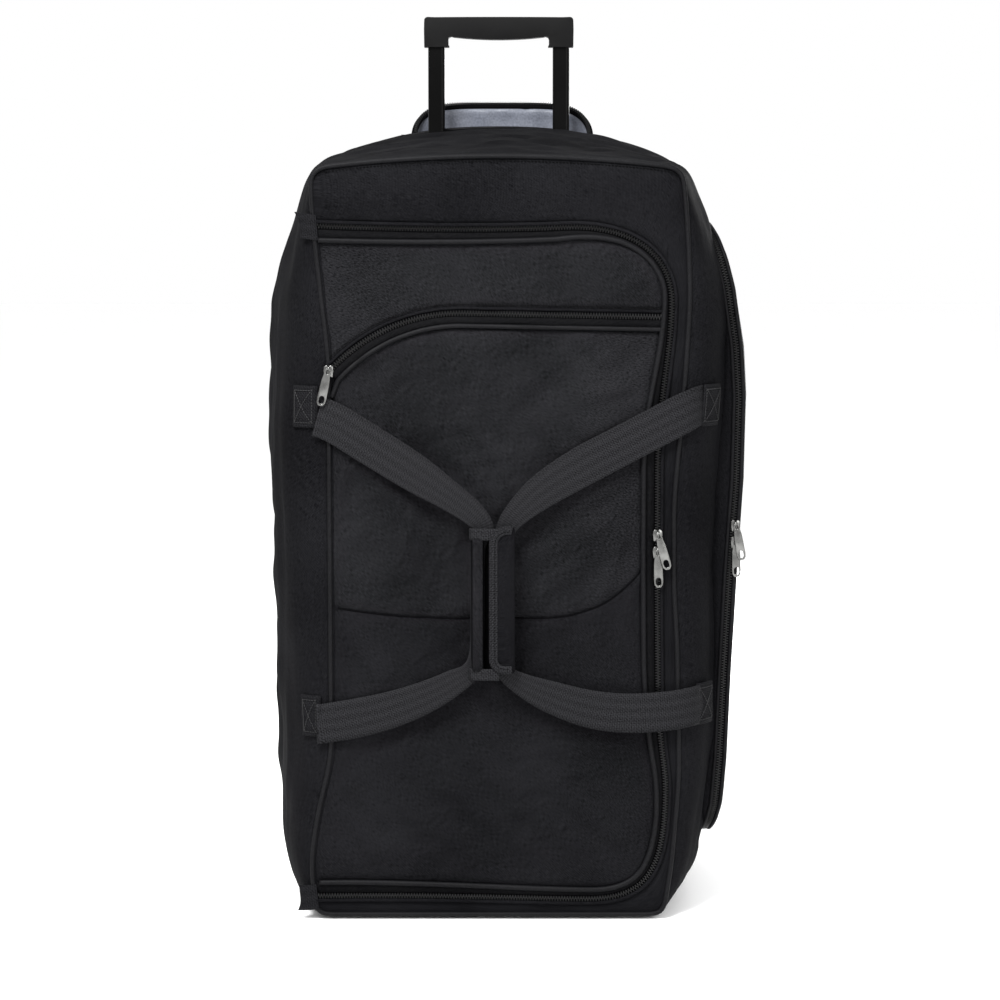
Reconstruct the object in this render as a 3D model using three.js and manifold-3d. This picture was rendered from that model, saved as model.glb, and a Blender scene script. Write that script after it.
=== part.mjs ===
// Rolling duffel bag, standing upright on two wheels and a foot rail.
// Units are millimetres, +Z up, X across the bag, Y from the front (-) to the trolley side (+).
import * as THREE from 'three';
import { mergeVertices } from 'three/addons/utils/BufferGeometryUtils.js';
import Module from 'manifold-3d';

const wasm = await Module();
wasm.setup();

// ---- driving dimensions --------------------------------------------------
const GAP = 0.4;                                  // clearance between neighbouring pieces
const CLOTH = 3;                                  // padded fabric wall
const FRONT = { y: -175, left: -197, right: 196, bottom: 4, top: 792, crown: 14 };
const BACK = { y: 165, half: 204, bottom: 8, top: 806, crown: 39 };
const LEFT_BULGE = { edge: 16, middle: 56 };
const RIGHT_BULGE = { edge: 12, middle: 39 };
const BOARD_Y = 131;                              // front face of the back board
const LID = { left: -187.5, inset: 10 };
const ZIP_HALF = 8.6;
const WEB = { half: 21, folded: 9, thick: 2.2 };
const GRIP_WRAP = { left: -31, right: 19, low: 268, high: 420, front: -208, back: -186, wall: 3 };
const POCKET = { front: -108, back: 124, low: 76, high: 742, corner: 62, x: 258, bulge: 11 };
const TUBE = { x: 71, y: 150, outerW: 24, outerD: 19, innerW: 19, innerD: 14, wall: 1.4 };
const GRIP = { half: 86, low: 943, high: 969, depth: 22, socketLow: 935 };
const BEZEL = { half: 111, low: 826, high: 836 };
const HOOD = { half: 104, low: 786, top: 876, side: 838, inner: 170.5, outer: 203, wall: 4 };
const BRIDGE = { short: 5.2, long: 7.8 };         // how far a slider's bridge stands off the chain
const WHEEL = { x: 152, y: 150, r: 35, hubR: 24, width: 26, axleR: 4 };

// ---- geometry helpers ----------------------------------------------------
const group = new THREE.Group();
group.name = 'rolling_duffel_bag';

function lerp(a, b, t) {
  return a + (b - a) * t;
}

/** Adds one named piece with its own material. */
function add(name, geometry, colour, roughness, metalness = 0) {
  const material = new THREE.MeshStandardMaterial({ color: colour, roughness, metalness });
  const mesh = new THREE.Mesh(geometry, material);
  mesh.name = name;
  group.add(mesh);
  return mesh;
}

/** Manifold solid of a geometry, for booleans. */
function solid(geometry) {
  const bare = geometry.clone();
  bare.deleteAttribute('normal');
  bare.deleteAttribute('uv');
  const merged = mergeVertices(bare, 1e-4);
  const vertProperties = new Float32Array(merged.attributes.position.array);
  const triVerts = new Uint32Array(merged.index.array);
  return new wasm.Manifold(new wasm.Mesh({ numProp: 3, vertProperties, triVerts }));
}

/** Geometry of a manifold solid. */
function geometryOf(body) {
  const mesh = body.getMesh();
  const geometry = new THREE.BufferGeometry();
  geometry.setAttribute('position', new THREE.BufferAttribute(new Float32Array(mesh.vertProperties), 3));
  geometry.setIndex(new THREE.BufferAttribute(new Uint32Array(mesh.triVerts), 1));
  return geometry;
}

/** Box between two corners. */
function block(x0, x1, y0, y1, z0, z1) {
  const geometry = new THREE.BoxGeometry(x1 - x0, y1 - y0, z1 - z0);
  return geometry.translate((x0 + x1) / 2, (y0 + y1) / 2, (z0 + z1) / 2);
}

/** Closed outline of [a, b] points. */
function outline(points) {
  return new THREE.Shape(points.map(([a, b]) => new THREE.Vector2(a, b)));
}

function extrude(shape, depth) {
  return new THREE.ExtrudeGeometry(shape, { depth, bevelEnabled: false, curveSegments: 5 });
}

/** Flat plate drawn in X and Z, between two Y planes. */
function frontPlate(shape, yLow, yHigh) {
  return extrude(shape, yHigh - yLow).rotateX(Math.PI / 2).translate(0, yHigh, 0);
}

/** Flat plate drawn in X and Y, between two Z planes. */
function floorPlate(shape, zLow, zHigh) {
  return extrude(shape, zHigh - zLow).translate(0, 0, zLow);
}

/** Rounded rectangle outline centred on (cx, cy). */
function roundedRectangle(cx, cy, width, height, radius) {
  const x = cx - width / 2;
  const y = cy - height / 2;
  const shape = new THREE.Shape();
  shape.moveTo(x + radius, y);
  shape.lineTo(x + width - radius, y);
  shape.absarc(x + width - radius, y + radius, radius, -Math.PI / 2, 0);
  shape.lineTo(x + width, y + height - radius);
  shape.absarc(x + width - radius, y + height - radius, radius, 0, Math.PI / 2);
  shape.lineTo(x + radius, y + height);
  shape.absarc(x + radius, y + height - radius, radius, Math.PI / 2, Math.PI);
  shape.lineTo(x, y + radius);
  shape.absarc(x + radius, y + radius, radius, Math.PI, 1.5 * Math.PI);
  return shape;
}

/** Cylinder along X. */
function cylinderX(x0, x1, y, z, radius, sides = 32) {
  const geometry = new THREE.CylinderGeometry(radius, radius, x1 - x0, sides);
  return geometry.rotateZ(-Math.PI / 2).translate((x0 + x1) / 2, y, z);
}

/**
 * Closed thin wall on the surface point(u, v), whose outer side is du x dv.
 * It grows inward by the wall thickness. With `loop` the u direction closes on itself.
 */
function wall(point, thickness, nu, nv, loop = false) {
  const step = 1e-3;
  const columns = loop ? nu : nu + 1;
  const outer = [];
  const inner = [];
  for (let j = 0; j <= nv; j += 1) {
    for (let i = 0; i < columns; i += 1) {
      const u = i / nu;
      const v = j / nv;
      const here = point(u, v);
      const u0 = loop ? (u - step + 1) % 1 : Math.max(u - step, 0);
      const u1 = loop ? (u + step) % 1 : Math.min(u + step, 1);
      const du = point(u1, v).sub(point(u0, v));
      const dv = point(u, Math.min(v + step, 1)).sub(point(u, Math.max(v - step, 0)));
      const normal = du.cross(dv).normalize();
      outer.push(here);
      inner.push(here.clone().addScaledVector(normal, -thickness));
    }
  }
  const positions = [...outer, ...inner].flatMap((p) => [p.x, p.y, p.z]);
  const back = outer.length;
  const index = [];
  const quad = (a, b, c, d) => index.push(a, b, c, a, c, d);
  const at = (i, j) => j * columns + (i % columns);
  for (let j = 0; j < nv; j += 1) {
    for (let i = 0; i < nu; i += 1) {
      const [a, b, c, d] = [at(i, j), at(i + 1, j), at(i + 1, j + 1), at(i, j + 1)];
      quad(a, b, c, d);
      quad(back + a, back + d, back + c, back + b);
    }
  }
  for (let i = 0; i < nu; i += 1) {
    quad(at(i, 0), back + at(i, 0), back + at(i + 1, 0), at(i + 1, 0));
    quad(at(i, nv), at(i + 1, nv), back + at(i + 1, nv), back + at(i, nv));
  }
  for (let j = 0; j < nv && !loop; j += 1) {
    quad(at(0, j), at(0, j + 1), back + at(0, j + 1), back + at(0, j));
    quad(at(nu, j), back + at(nu, j), back + at(nu, j + 1), at(nu, j + 1));
  }
  const geometry = new THREE.BufferGeometry();
  geometry.setAttribute('position', new THREE.BufferAttribute(new Float32Array(positions), 3));
  geometry.setIndex(index);
  return geometry;
}

/** Open path of [a, b] points moved sideways to its left by a distance. */
function offsetPath(points, distance) {
  return points.map(([a, b], i) => {
    const [a0, b0] = points[Math.max(i - 1, 0)];
    const [a1, b1] = points[Math.min(i + 1, points.length - 1)];
    const length = Math.hypot(a1 - a0, b1 - b0);
    return [a - ((b1 - b0) / length) * distance, b + ((a1 - a0) / length) * distance];
  });
}

/** Outline of the band between two sideways offsets of a path. */
function band(points, far, near) {
  return outline([...offsetPath(points, far), ...offsetPath(points, near).reverse()]);
}

/** Points of a Path as [a, b] pairs: the ends of each line, and steps along each curve. */
function pathPoints(path, steps) {
  return path.getPoints(steps).map((p) => [p.x, p.y]);
}

// ---- shape of the soft body ----------------------------------------------
/** Height of the top skin, domed across the width. */
function topZ(x, y) {
  const t = (y - FRONT.y) / (BACK.y - FRONT.y);
  const dome = 1 - Math.min(1, (x / BACK.half) ** 2);
  return lerp(FRONT.top, BACK.top, t) + lerp(FRONT.crown, BACK.crown, t) * dome;
}

/** Rounded swell of a side between its front and back seams. */
function swell(y) {
  const t = (2 * (y - FRONT.y)) / (BACK.y - FRONT.y) - 1;
  return Math.sqrt(Math.max(0, 1 - t ** 4));
}

/** Outer skin of a side (-1 left, +1 right) at a depth and a height. */
function sideX(side, y, z) {
  const t = (y - FRONT.y) / (BACK.y - FRONT.y);
  const seam = side < 0 ? lerp(-FRONT.left, BACK.half, t) : lerp(FRONT.right, BACK.half, t);
  const bulge = side < 0 ? LEFT_BULGE : RIGHT_BULGE;
  const v = Math.min(1, Math.abs(z / 400 - 1));
  const amount = lerp(bulge.edge, bulge.middle, 1 - v ** 4);
  return side * (seam + amount * swell(y));
}

const SKIN_FRONT = FRONT.y + CLOTH + GAP;
const SKIN_BACK = BACK.y - CLOTH - GAP;
const PANEL_LOW = BACK.bottom + CLOTH + GAP;

/** Top edge of a side panel, just under the top panel. */
function sideTop(side, y) {
  const x = sideX(side, y, FRONT.top);
  return topZ(x, y) - CLOTH - GAP - 1;
}

function sidePanel(side) {
  return wall((u, v) => {
    const s = side < 0 ? 1 - u : u;
    const y = lerp(SKIN_FRONT, SKIN_BACK, s);
    const z = lerp(PANEL_LOW + 1, sideTop(side, y), v);
    return new THREE.Vector3(sideX(side, y, z), y, z);
  }, CLOTH, 12, 12);
}

function topPanel() {
  const skin = wall((u, v) => {
    const y = lerp(SKIN_FRONT, SKIN_BACK, v);
    const x = lerp(sideX(-1, y, FRONT.top), sideX(1, y, FRONT.top), u);
    return new THREE.Vector3(x, y, topZ(x, y));
  }, CLOTH, 12, 8);
  const notch = block(-BEZEL.half - 1, BEZEL.half + 1, BOARD_Y + CLOTH, BACK.y + 5, 700, 900);
  return geometryOf(solid(skin).subtract(solid(notch)));
}

/** Two wheel bays cut out of whatever would run through them. */
function withoutWheelBays(geometry) {
  let body = solid(geometry);
  for (const side of [-1, 1]) {
    const x0 = side * WHEEL.x - 36;
    body = body.subtract(solid(block(x0, x0 + 72, 102, 200, -20, 104)));
  }
  return geometryOf(body);
}

function bottomPanel() {
  const skin = wall((u, v) => {
    const y = lerp(SKIN_FRONT, SKIN_BACK, v);
    const x = lerp(sideX(1, y, 0), sideX(-1, y, 0), u);
    return new THREE.Vector3(x, y, BACK.bottom);
  }, CLOTH, 4, 12);
  return withoutWheelBays(skin);
}

/** Back outline with its domed top edge. */
function backPanel() {
  const points = [[-BACK.half, BACK.bottom], [BACK.half, BACK.bottom]];
  for (let i = 0; i <= 12; i += 1) {
    const x = lerp(BACK.half, -BACK.half, i / 12);
    points.push([x, topZ(x, BACK.y) - 1]);
  }
  return withoutWheelBays(frontPlate(outline(points), BACK.y - CLOTH, BACK.y));
}

// ---- front frame, lid and zips -------------------------------------------
/** Centre line of the main zip: along the top, down the right side, back along the bottom. */
function mainZipPath() {
  const path = new THREE.Path();
  path.moveTo(LID.left + 1, 737);
  path.lineTo(70, 739);
  path.bezierCurveTo(130, 739, 179, 706, 179, 655);
  path.bezierCurveTo(179, 600, 167, 560, 167, 490);
  path.lineTo(167, 225);
  path.bezierCurveTo(167, 170, 178, 165, 177, 130);
  path.bezierCurveTo(176, 60, 160, 24, 95, 24);
  path.lineTo(LID.left + 1, 24);
  return pathPoints(path, 9);
}
const MAIN_ZIP = mainZipPath();

/** Centre line of the lid pocket zip: an arc from the left, then level to the right. */
const POCKET_ARC = { x: -40, z: 459, r: 185, start: 2.41, end: 152 };
function pocketZipPath() {
  const path = new THREE.Path();
  path.absarc(POCKET_ARC.x, POCKET_ARC.z, POCKET_ARC.r, POCKET_ARC.start, Math.PI / 2, true);
  path.lineTo(POCKET_ARC.end, POCKET_ARC.z + POCKET_ARC.r);
  return pathPoints(path, 8);
}
const POCKET_ZIP = pocketZipPath();

/** Centre line of the curved seam low on the lid. */
function lowerSeamPath() {
  const path = new THREE.Path();
  path.moveTo(-200, 338);
  path.bezierCurveTo(-120, 320, -60, 322, 20, 322);
  path.bezierCurveTo(100, 322, 145, 345, 165, 400);
  return pathPoints(path, 9);
}
const LOWER_SEAM = lowerSeamPath();

/** Outline of the front face, seam to seam. */
function frontOutline(inset) {
  const points = [
    [FRONT.left + inset, FRONT.bottom + 14],
    [FRONT.left + 12 + inset, FRONT.bottom + inset],
    [FRONT.right - 16 - inset, FRONT.bottom + inset],
    [FRONT.right - inset, FRONT.bottom + 16],
  ];
  for (let i = 0; i <= 12; i += 1) {
    const x = lerp(FRONT.right - inset, FRONT.left + inset, i / 12);
    points.push([x, topZ(x, FRONT.y) - inset]);
  }
  return points;
}

function frontFrame() {
  const shape = outline(frontOutline(0));
  const hole = offsetPath(MAIN_ZIP, ZIP_HALF + GAP);
  shape.holes.push(new THREE.Path(hole.map(([x, z]) => new THREE.Vector2(x, z))));
  return frontPlate(shape, FRONT.y, FRONT.y + CLOTH);
}

function seamPiping() {
  const shape = outline(frontOutline(0));
  shape.holes.push(outline(frontOutline(4)));
  return frontPlate(shape, FRONT.y - 3, FRONT.y - GAP);
}

function lidOutline() {
  return outline(offsetPath(MAIN_ZIP, -LID.inset));
}

/** The part of the lid plate inside a region outline. */
function lidPiece(region) {
  const plate = solid(frontPlate(lidOutline(), FRONT.y - 1, FRONT.y + CLOTH - 1));
  return geometryOf(plate.intersect(solid(frontPlate(region, FRONT.y - 9, FRONT.y + 9))));
}

function addLid() {
  const zipRun = [[-200, 560], [-182, 578], ...POCKET_ZIP, [190, POCKET_ARC.z + POCKET_ARC.r]];
  const above = outline([...offsetPath(zipRun, 5.2), [400, 650], [400, 900], [-400, 900], [-400, 560]]);
  const between = outline([
    ...offsetPath(zipRun, -5.2), [400, 640], [400, 400], ...offsetPath(LOWER_SEAM, 0.3).reverse(),
    [-400, 338], [-400, 560]]);
  const below = outline([...offsetPath(LOWER_SEAM, -0.3), [400, 400], [400, -50], [-400, -50], [-400, 338]]);
  add('lid_upper_panel', lidPiece(above), 0x2a2a2c, 0.9);
  add('lid_pocket_panel', lidPiece(between), 0x262628, 0.9);
  add('lid_lower_panel', lidPiece(below), 0x242426, 0.9);
  const y = FRONT.y + CLOTH - 1 + GAP;
  add('lid_lining', frontPlate(lidOutline(), y, y + 1.2), 0x7c8088, 0.6);
  const run = [[LID.left + 10, 737], ...MAIN_ZIP.slice(1, -1), [LID.left + 10, 24]];
  add('lid_piping', frontPlate(band(run, -LID.inset, -LID.inset - 4), FRONT.y - 4, FRONT.y - 1 - GAP),
    0x1c1c1e, 0.8);
  add('lid_pocket_zip', frontPlate(band(POCKET_ZIP, 4.7, -4.7), FRONT.y - 1.6, FRONT.y + 1),
    0x1a1a1c, 0.7);
}

/** Slider body of a zip: a block with a bridge of a given reach, standing on the chain. */
function sliderBody(x, y, z, reach) {
  const shape = new THREE.Shape();
  shape.moveTo(-4, -6);
  shape.lineTo(4, -6);
  shape.lineTo(5, 6);
  shape.lineTo(-5, 6);
  const body = frontPlate(shape, -2.6, 0);
  const bridge = block(-1.2, 1.2, -reach, -2, -3.5, 4.5);
  return geometryOf(solid(body).add(solid(bridge))).translate(x, y, z);
}

/** Hanging pull tab with a small hole at the top and a long oval hole below. */
function pullTab(x, y, z) {
  const shape = roundedRectangle(0, -19, 9.5, 40, 4.4);
  const top = new THREE.Path();
  top.absarc(0, -4, 2, 0, 2 * Math.PI, true);
  const slot = roundedRectangle(0, -27, 5, 15, 2.4);
  shape.holes.push(top, slot);
  return frontPlate(shape, -1.8, 0).translate(x, y, z);
}

/** One slider with its pull; the pull hangs in front of the bridge. */
function addSlider(prefix, x, y, z, reach) {
  add(`${prefix}_slider`, sliderBody(x, y, z, reach), 0xb9b9b6, 0.3, 1);
  add(`${prefix}_pull`, pullTab(x, y - reach - GAP, z + 2), 0xc4c4c0, 0.25, 1);
}

function addFront() {
  add('front_frame', frontFrame(), 0x262628, 0.9);
  add('front_seam_piping', seamPiping(), 0x1c1c1e, 0.8);
  add('main_zip', frontPlate(band(MAIN_ZIP, ZIP_HALF, -ZIP_HALF), FRONT.y - 1, FRONT.y + 1.4), 0x161617, 0.7);
  addSlider('main_upper', 167, FRONT.y - 1 - GAP, 411, BRIDGE.long);
  addSlider('main_lower', 167, FRONT.y - 1 - GAP, 393, BRIDGE.short);
  addLid();
  addSlider('lid_pocket', -177.7, FRONT.y - 1.6 - 2 * GAP, 583.5, BRIDGE.short);
  for (const [name, low] of [['zip_tab_upper', 722], ['zip_tab_lower', 14]]) {
    const tab = wall((u, v) => {
      const y = lerp(-151, SKIN_FRONT, u);
      const z = lerp(low, low + 28, v);
      return new THREE.Vector3(sideX(-1, y, z) - 2.4, y, z);
    }, 1.8, 4, 2);
    add(name, tab, 0x1c1c1e, 0.85);
  }
}

// ---- carrying handles ----------------------------------------------------
/** Stitched end patch of a handle on a side of the bag. */
function strapPatch(side, low) {
  return wall((u, v) => {
    const s = side < 0 ? 1 - u : u;
    const y = lerp(-167, -138, s);
    const z = lerp(low, low + 46, v);
    return new THREE.Vector3(sideX(side, y, z) + side * 2.8, y, z);
  }, 2, 5, 3);
}

/** Continuous webbing loop: side seam, folded grip, side seam. */
function handleWeb(stations) {
  const centre = new THREE.CatmullRomCurve3(stations.map(([x, y, z]) => new THREE.Vector3(x, y, z)));
  const halves = stations.map((s) => s[3]);
  const halfWidth = (t) => {
    const at = t * (halves.length - 1);
    const i = Math.min(Math.floor(at), halves.length - 2);
    return lerp(halves[i], halves[i + 1], at - i);
  };
  return wall((u, v) => {
    const here = centre.getPoint(v);
    const ahead = centre.getTangent(v);
    const across = new THREE.Vector3(-ahead.z, 0, ahead.x).normalize();
    return here.addScaledVector(across, lerp(-1, 1, u) * halfWidth(v));
  }, WEB.thick, 2, 36);
}

function addHandles() {
  add('strap_patch_left_upper', strapPatch(-1, 516), 0x3a3a3c, 0.9);
  add('strap_patch_left_lower', strapPatch(-1, 194), 0x3a3a3c, 0.9);
  add('strap_patch_right_upper', strapPatch(1, 522), 0x3a3a3c, 0.9);
  add('strap_patch_right_lower', strapPatch(1, 206), 0x3a3a3c, 0.9);
  const [wide, slim] = [WEB.half, WEB.folded];
  add('left_handle_webbing', handleWeb([
    [-199, -182, 214, wide], [-140, -186, 222, wide], [-84, -190, 234, wide], [-42, -195, 247, 15],
    [-18, -197, 263, slim], [-18, -197, 300, slim], [-18, -197, 345, slim], [-18, -197, 388, slim],
    [-18, -197, 426, slim], [-42, -195, 446, 15], [-84, -189, 472, wide], [-140, -181.6, 509, wide],
    [-194, -179.8, 540, wide]]), 0x3c3c3e, 0.85);
  add('right_handle_webbing', handleWeb([
    [202, -182, 545, wide], [132, -186, 507, wide], [66, -190, 466, wide], [26, -195, 444, 14],
    [5, -197, 426, slim], [5, -197, 388, slim], [5, -197, 345, slim], [5, -197, 300, slim],
    [5, -197, 263, slim], [26, -195, 248, 13], [66, -190, 236, wide], [118, -186, 221, wide],
    [205, -182, 229, wide]]), 0x3c3c3e, 0.85);
  const w = GRIP_WRAP;
  const width = w.right - w.left;
  const depth = w.back - w.front;
  const [cx, cy] = [(w.left + w.right) / 2, (w.front + w.back) / 2];
  const sleeve = roundedRectangle(cx, cy, width, depth, 8);
  sleeve.holes.push(roundedRectangle(cx, cy, width - 2 * w.wall, depth - 2 * w.wall, 5));
  add('grip_wrap', floorPlate(sleeve, w.low, w.high), 0x232325, 0.9);
}

// ---- side pocket ---------------------------------------------------------
/** Points round the pocket outline, u from 0 to 1, as [y, z]. */
const POCKET_LOOP = (() => {
  const { front, back, low, high, corner } = POCKET;
  return roundedRectangle((front + back) / 2, (low + high) / 2, back - front, high - low, corner);
})();

/** Wall that follows the pocket outline between two X positions. */
function pocketRing(lowX, highX, thickness) {
  const loop = POCKET_LOOP.getSpacedPoints(48).slice(0, -1);
  return wall((u, v) => {
    const at = u * loop.length;
    const i = Math.floor(at) % loop.length;
    const p = loop[i].clone().lerp(loop[(i + 1) % loop.length], at - Math.floor(at));
    return new THREE.Vector3(lerp(lowX(p.x, p.y), highX, v), p.x, p.y);
  }, thickness, loop.length, 2, true);
}

/** Domed cover of the pocket. */
function pocketCover() {
  const { front, back, low, high, corner, x, bulge } = POCKET;
  const middle = (front + back) / 2;
  const half = (back - front) / 2;
  return wall((u, v) => {
    const y = lerp(front, back, u);
    const past = Math.max(0, Math.abs(y - middle) - (half - corner));
    const drop = corner - Math.sqrt(Math.max(0, corner ** 2 - past ** 2));
    const z = lerp(low + drop, high - drop, v);
    const a = (y - middle) / half;
    const b = (2 * (z - low)) / (high - low) - 1;
    const dome = Math.max(0, 1 - a ** 4) * Math.max(0, 1 - b ** 4);
    return new THREE.Vector3(x + CLOTH + bulge * dome, y, z);
  }, CLOTH - GAP, 14, 12);
}

function addSidePocket() {
  const zipLow = POCKET.x - 7;
  const onSide = (y, z) => sideX(1, y, z) + 1.2;
  add('side_pocket_gusset', pocketRing(onSide, zipLow - GAP, 2.4), 0x242426, 0.9);
  add('side_pocket_zip', pocketRing(() => zipLow, POCKET.x - GAP, 2), 0x161617, 0.7);
  add('side_pocket_cover', pocketCover(), 0x262628, 0.9);
  addSlider('side_upper', zipLow + 3, POCKET.front - GAP, 414, BRIDGE.long);
  addSlider('side_lower', zipLow + 3, POCKET.front - GAP, 396, BRIDGE.short);
}

// ---- trolley -------------------------------------------------------------
/** Rounded rectangular tube, open at both ends. */
function tube(x, width, depth, bore, low, high) {
  const shape = roundedRectangle(x, TUBE.y, width, depth, 4);
  shape.holes.push(roundedRectangle(x, TUBE.y, width - 2 * bore, depth - 2 * bore, 4 - bore));
  return floorPlate(shape, low, high);
}

function trolleyGrip() {
  const bar = floorPlate(roundedRectangle(0, TUBE.y, 2 * GRIP.half, GRIP.depth, 9), GRIP.low, GRIP.high);
  let body = solid(bar);
  for (const side of [-1, 1]) {
    const x = side * TUBE.x;
    const socket = floorPlate(roundedRectangle(x, TUBE.y, 26, 20, 5), GRIP.socketLow, GRIP.low + 1);
    const bore = floorPlate(
      roundedRectangle(x, TUBE.y, TUBE.innerW + 0.8, TUBE.innerD + 0.8, 4), GRIP.socketLow - 1, 946.5);
    body = body.add(solid(socket)).subtract(solid(bore));
  }
  body = body.subtract(solid(block(-79, 79, TUBE.y - 5, TUBE.y + 5, 946, 958)));
  body = body.subtract(solid(block(-30, 30, TUBE.y - 8, TUBE.y + 8, 953.5, 980)));
  return geometryOf(body);
}

function pushButton() {
  const cap = block(-29.4, 29.4, TUBE.y - 7.4, TUBE.y + 7.4, 958, 970.5);
  const yoke = block(-78, 78, TUBE.y - 4.2, TUBE.y + 4.2, 953, 957.4);
  const neck = block(-20, 20, TUBE.y - 4.2, TUBE.y + 4.2, 957, 959);
  return geometryOf(solid(cap).add(solid(neck)).add(solid(yoke)));
}

function bezel() {
  const y0 = BOARD_Y + CLOTH + GAP;
  const plate = block(-BEZEL.half, BEZEL.half, y0, BACK.y - CLOTH - GAP, BEZEL.low, BEZEL.high);
  let body = solid(plate);
  for (const side of [-1, 1]) {
    const [w, d] = [TUBE.innerW + 0.8, TUBE.innerD + 0.8];
    const hole = floorPlate(roundedRectangle(side * TUBE.x, TUBE.y, w, d, 4), 800, 900);
    body = body.subtract(solid(hole));
  }
  return geometryOf(body);
}

/** Hood that stands behind the tubes: a shallow pouch, open at the top. */
function hoodSkin(u, v, lift) {
  const x = lerp(HOOD.half, -HOOD.half, u);
  const a = Math.abs(x / HOOD.half);
  const y = lerp(HOOD.inner, HOOD.outer, Math.sqrt(Math.max(0, 1 - a ** 3)));
  const rim = lerp(HOOD.side, HOOD.top, Math.sqrt(Math.max(0, 1 - a ** 4)));
  return new THREE.Vector3(x, y, lerp(HOOD.low, rim - 7, v) + lift * v);
}

function addHood() {
  add('hood_flap', wall((u, v) => hoodSkin(u, v, 0), HOOD.wall, 24, 6), 0x242426, 0.9);
  add('hood_zip', wall((u, v) => {
    const p = hoodSkin(u, 1, 0);
    return p.setZ(p.z + 3 * GAP + 6 * v);
  }, 2.4, 24, 1), 0x161617, 0.7);
}

function addTrolley() {
  for (const side of [-1, 1]) {
    const name = side < 0 ? 'left' : 'right';
    const x = side * TUBE.x;
    add(`outer_tube_${name}`, tube(x, TUBE.outerW, TUBE.outerD, 2, 60, BEZEL.low - GAP), 0x8d8f92, 0.4, 1);
    add(`inner_tube_${name}`, tube(x, TUBE.innerW, TUBE.innerD, TUBE.wall, 430, 945.6), 0x151516, 0.35, 0.6);
    const rod = new THREE.CylinderGeometry(2.2, 2.2, 500, 12).rotateX(Math.PI / 2);
    add(`lock_rod_${name}`, rod.translate(x, TUBE.y, 952.6 - 250), 0x9a9a98, 0.35, 1);
  }
  add('trolley_grip', trolleyGrip(), 0x121213, 0.5);
  add('push_button', pushButton(), 0x19191a, 0.45);
  add('trolley_bezel', bezel(), 0x141415, 0.5);
  add('trolley_bracket', block(-95, 95, 138, 161, 44, 59.4), 0x151516, 0.6);
  addHood();
}

// ---- boards, wheels and feet ---------------------------------------------
function wheelHousing(side) {
  const cx = side * WHEEL.x;
  const { y, r } = WHEEL;
  let body = solid(block(cx - 34, cx + 34, 104, 182, 14, 100));
  body = body.subtract(solid(cylinderX(cx - 17, cx + 17, y, r, r + 4, 40)));
  body = body.subtract(solid(block(cx - 17, cx + 17, y, 200, -10, r + r + 4)));
  body = body.subtract(solid(block(cx - 17, cx + 17, y - r - 4, 200, -10, r)));
  body = body.subtract(solid(cylinderX(cx - 60, cx + 60, y, r, WHEEL.axleR + GAP, 24)));
  return geometryOf(body);
}

/** Ring turned about the wheel axis, from a profile of [radius, offset] points. */
function turned(profile, cx) {
  const points = profile.map(([radius, offset]) => new THREE.Vector2(radius, offset));
  const geometry = new THREE.LatheGeometry([...points, points[0]], 36);
  return geometry.rotateZ(-Math.PI / 2).translate(cx, WHEEL.y, WHEEL.r);
}

function addWheel(side) {
  const name = side < 0 ? 'left' : 'right';
  const cx = side * WHEEL.x;
  const { r, hubR, width, axleR } = WHEEL;
  const h = width / 2;
  add(`wheel_housing_${name}`, wheelHousing(side), 0x19191a, 0.6);
  add(`tyre_${name}`, turned([[hubR + GAP, -h], [r - 3, -h], [r, -h + 4], [r, h - 4], [r - 3, h],
    [hubR + GAP, h]], cx), 0x131313, 0.8);
  add(`wheel_hub_${name}`, turned([[axleR + GAP, -h + 1], [hubR, -h + 1], [hubR, h - 1],
    [axleR + GAP, h - 1]], cx), 0x3a3a3c, 0.5);
  add(`axle_${name}`, cylinderX(cx - 33, cx + 33, WHEEL.y, r, axleR, 24), 0x9a9a98, 0.35, 1);
}

function interiorLining() {
  const shell = solid(block(-186, 178, -168, BOARD_Y - GAP, 16, 780));
  const room = solid(block(-184.6, 176.6, -200, BOARD_Y - GAP - 1.4, 17.4, 778.6));
  return withoutWheelBays(geometryOf(shell.subtract(room)));
}

function addBody() {
  add('left_side_panel', sidePanel(-1), 0x262628, 0.9);
  add('right_side_panel', sidePanel(1), 0x262628, 0.9);
  add('top_panel', topPanel(), 0x28282a, 0.9);
  add('bottom_panel', bottomPanel(), 0x1d1d1f, 0.9);
  add('back_panel', backPanel(), 0x1d1d1f, 0.9);
  add('interior_lining', interiorLining(), 0x7c8088, 0.6);
  const backBoard = block(-190, 186, BOARD_Y, BOARD_Y + CLOTH, 16, 790);
  add('back_board', withoutWheelBays(backBoard), 0x4a4a4a, 0.8);
  const baseBoard = block(-178, 170, -160, 128, 12, 15);
  add('base_board', withoutWheelBays(baseBoard), 0x4a4a4a, 0.8);
  add('foot_rail', block(-150, 150, -158, -136, 0, BACK.bottom - GAP), 0x171718, 0.6);
}

addBody();
addFront();
addHandles();
addSidePocket();
addTrolley();
addWheel(-1);
addWheel(1);

// ---- origin: centre of the footprint, on the floor -----------------------
const bounds = new THREE.Box3().setFromObject(group);
const centre = bounds.getCenter(new THREE.Vector3());
group.children.forEach((mesh) => mesh.geometry.translate(-centre.x, -centre.y, -bounds.min.z));

export default group;
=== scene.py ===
"""Rolling duffel bag: the looks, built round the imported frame.

Lengths in the design functions are millimetres in the bag's own design frame, the one that the CAD
source uses before its origin is moved to the middle of the footprint. world() turns them into metres.
"""
import math

import bmesh
import bpy
import numpy as np
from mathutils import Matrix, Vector, noise

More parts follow.
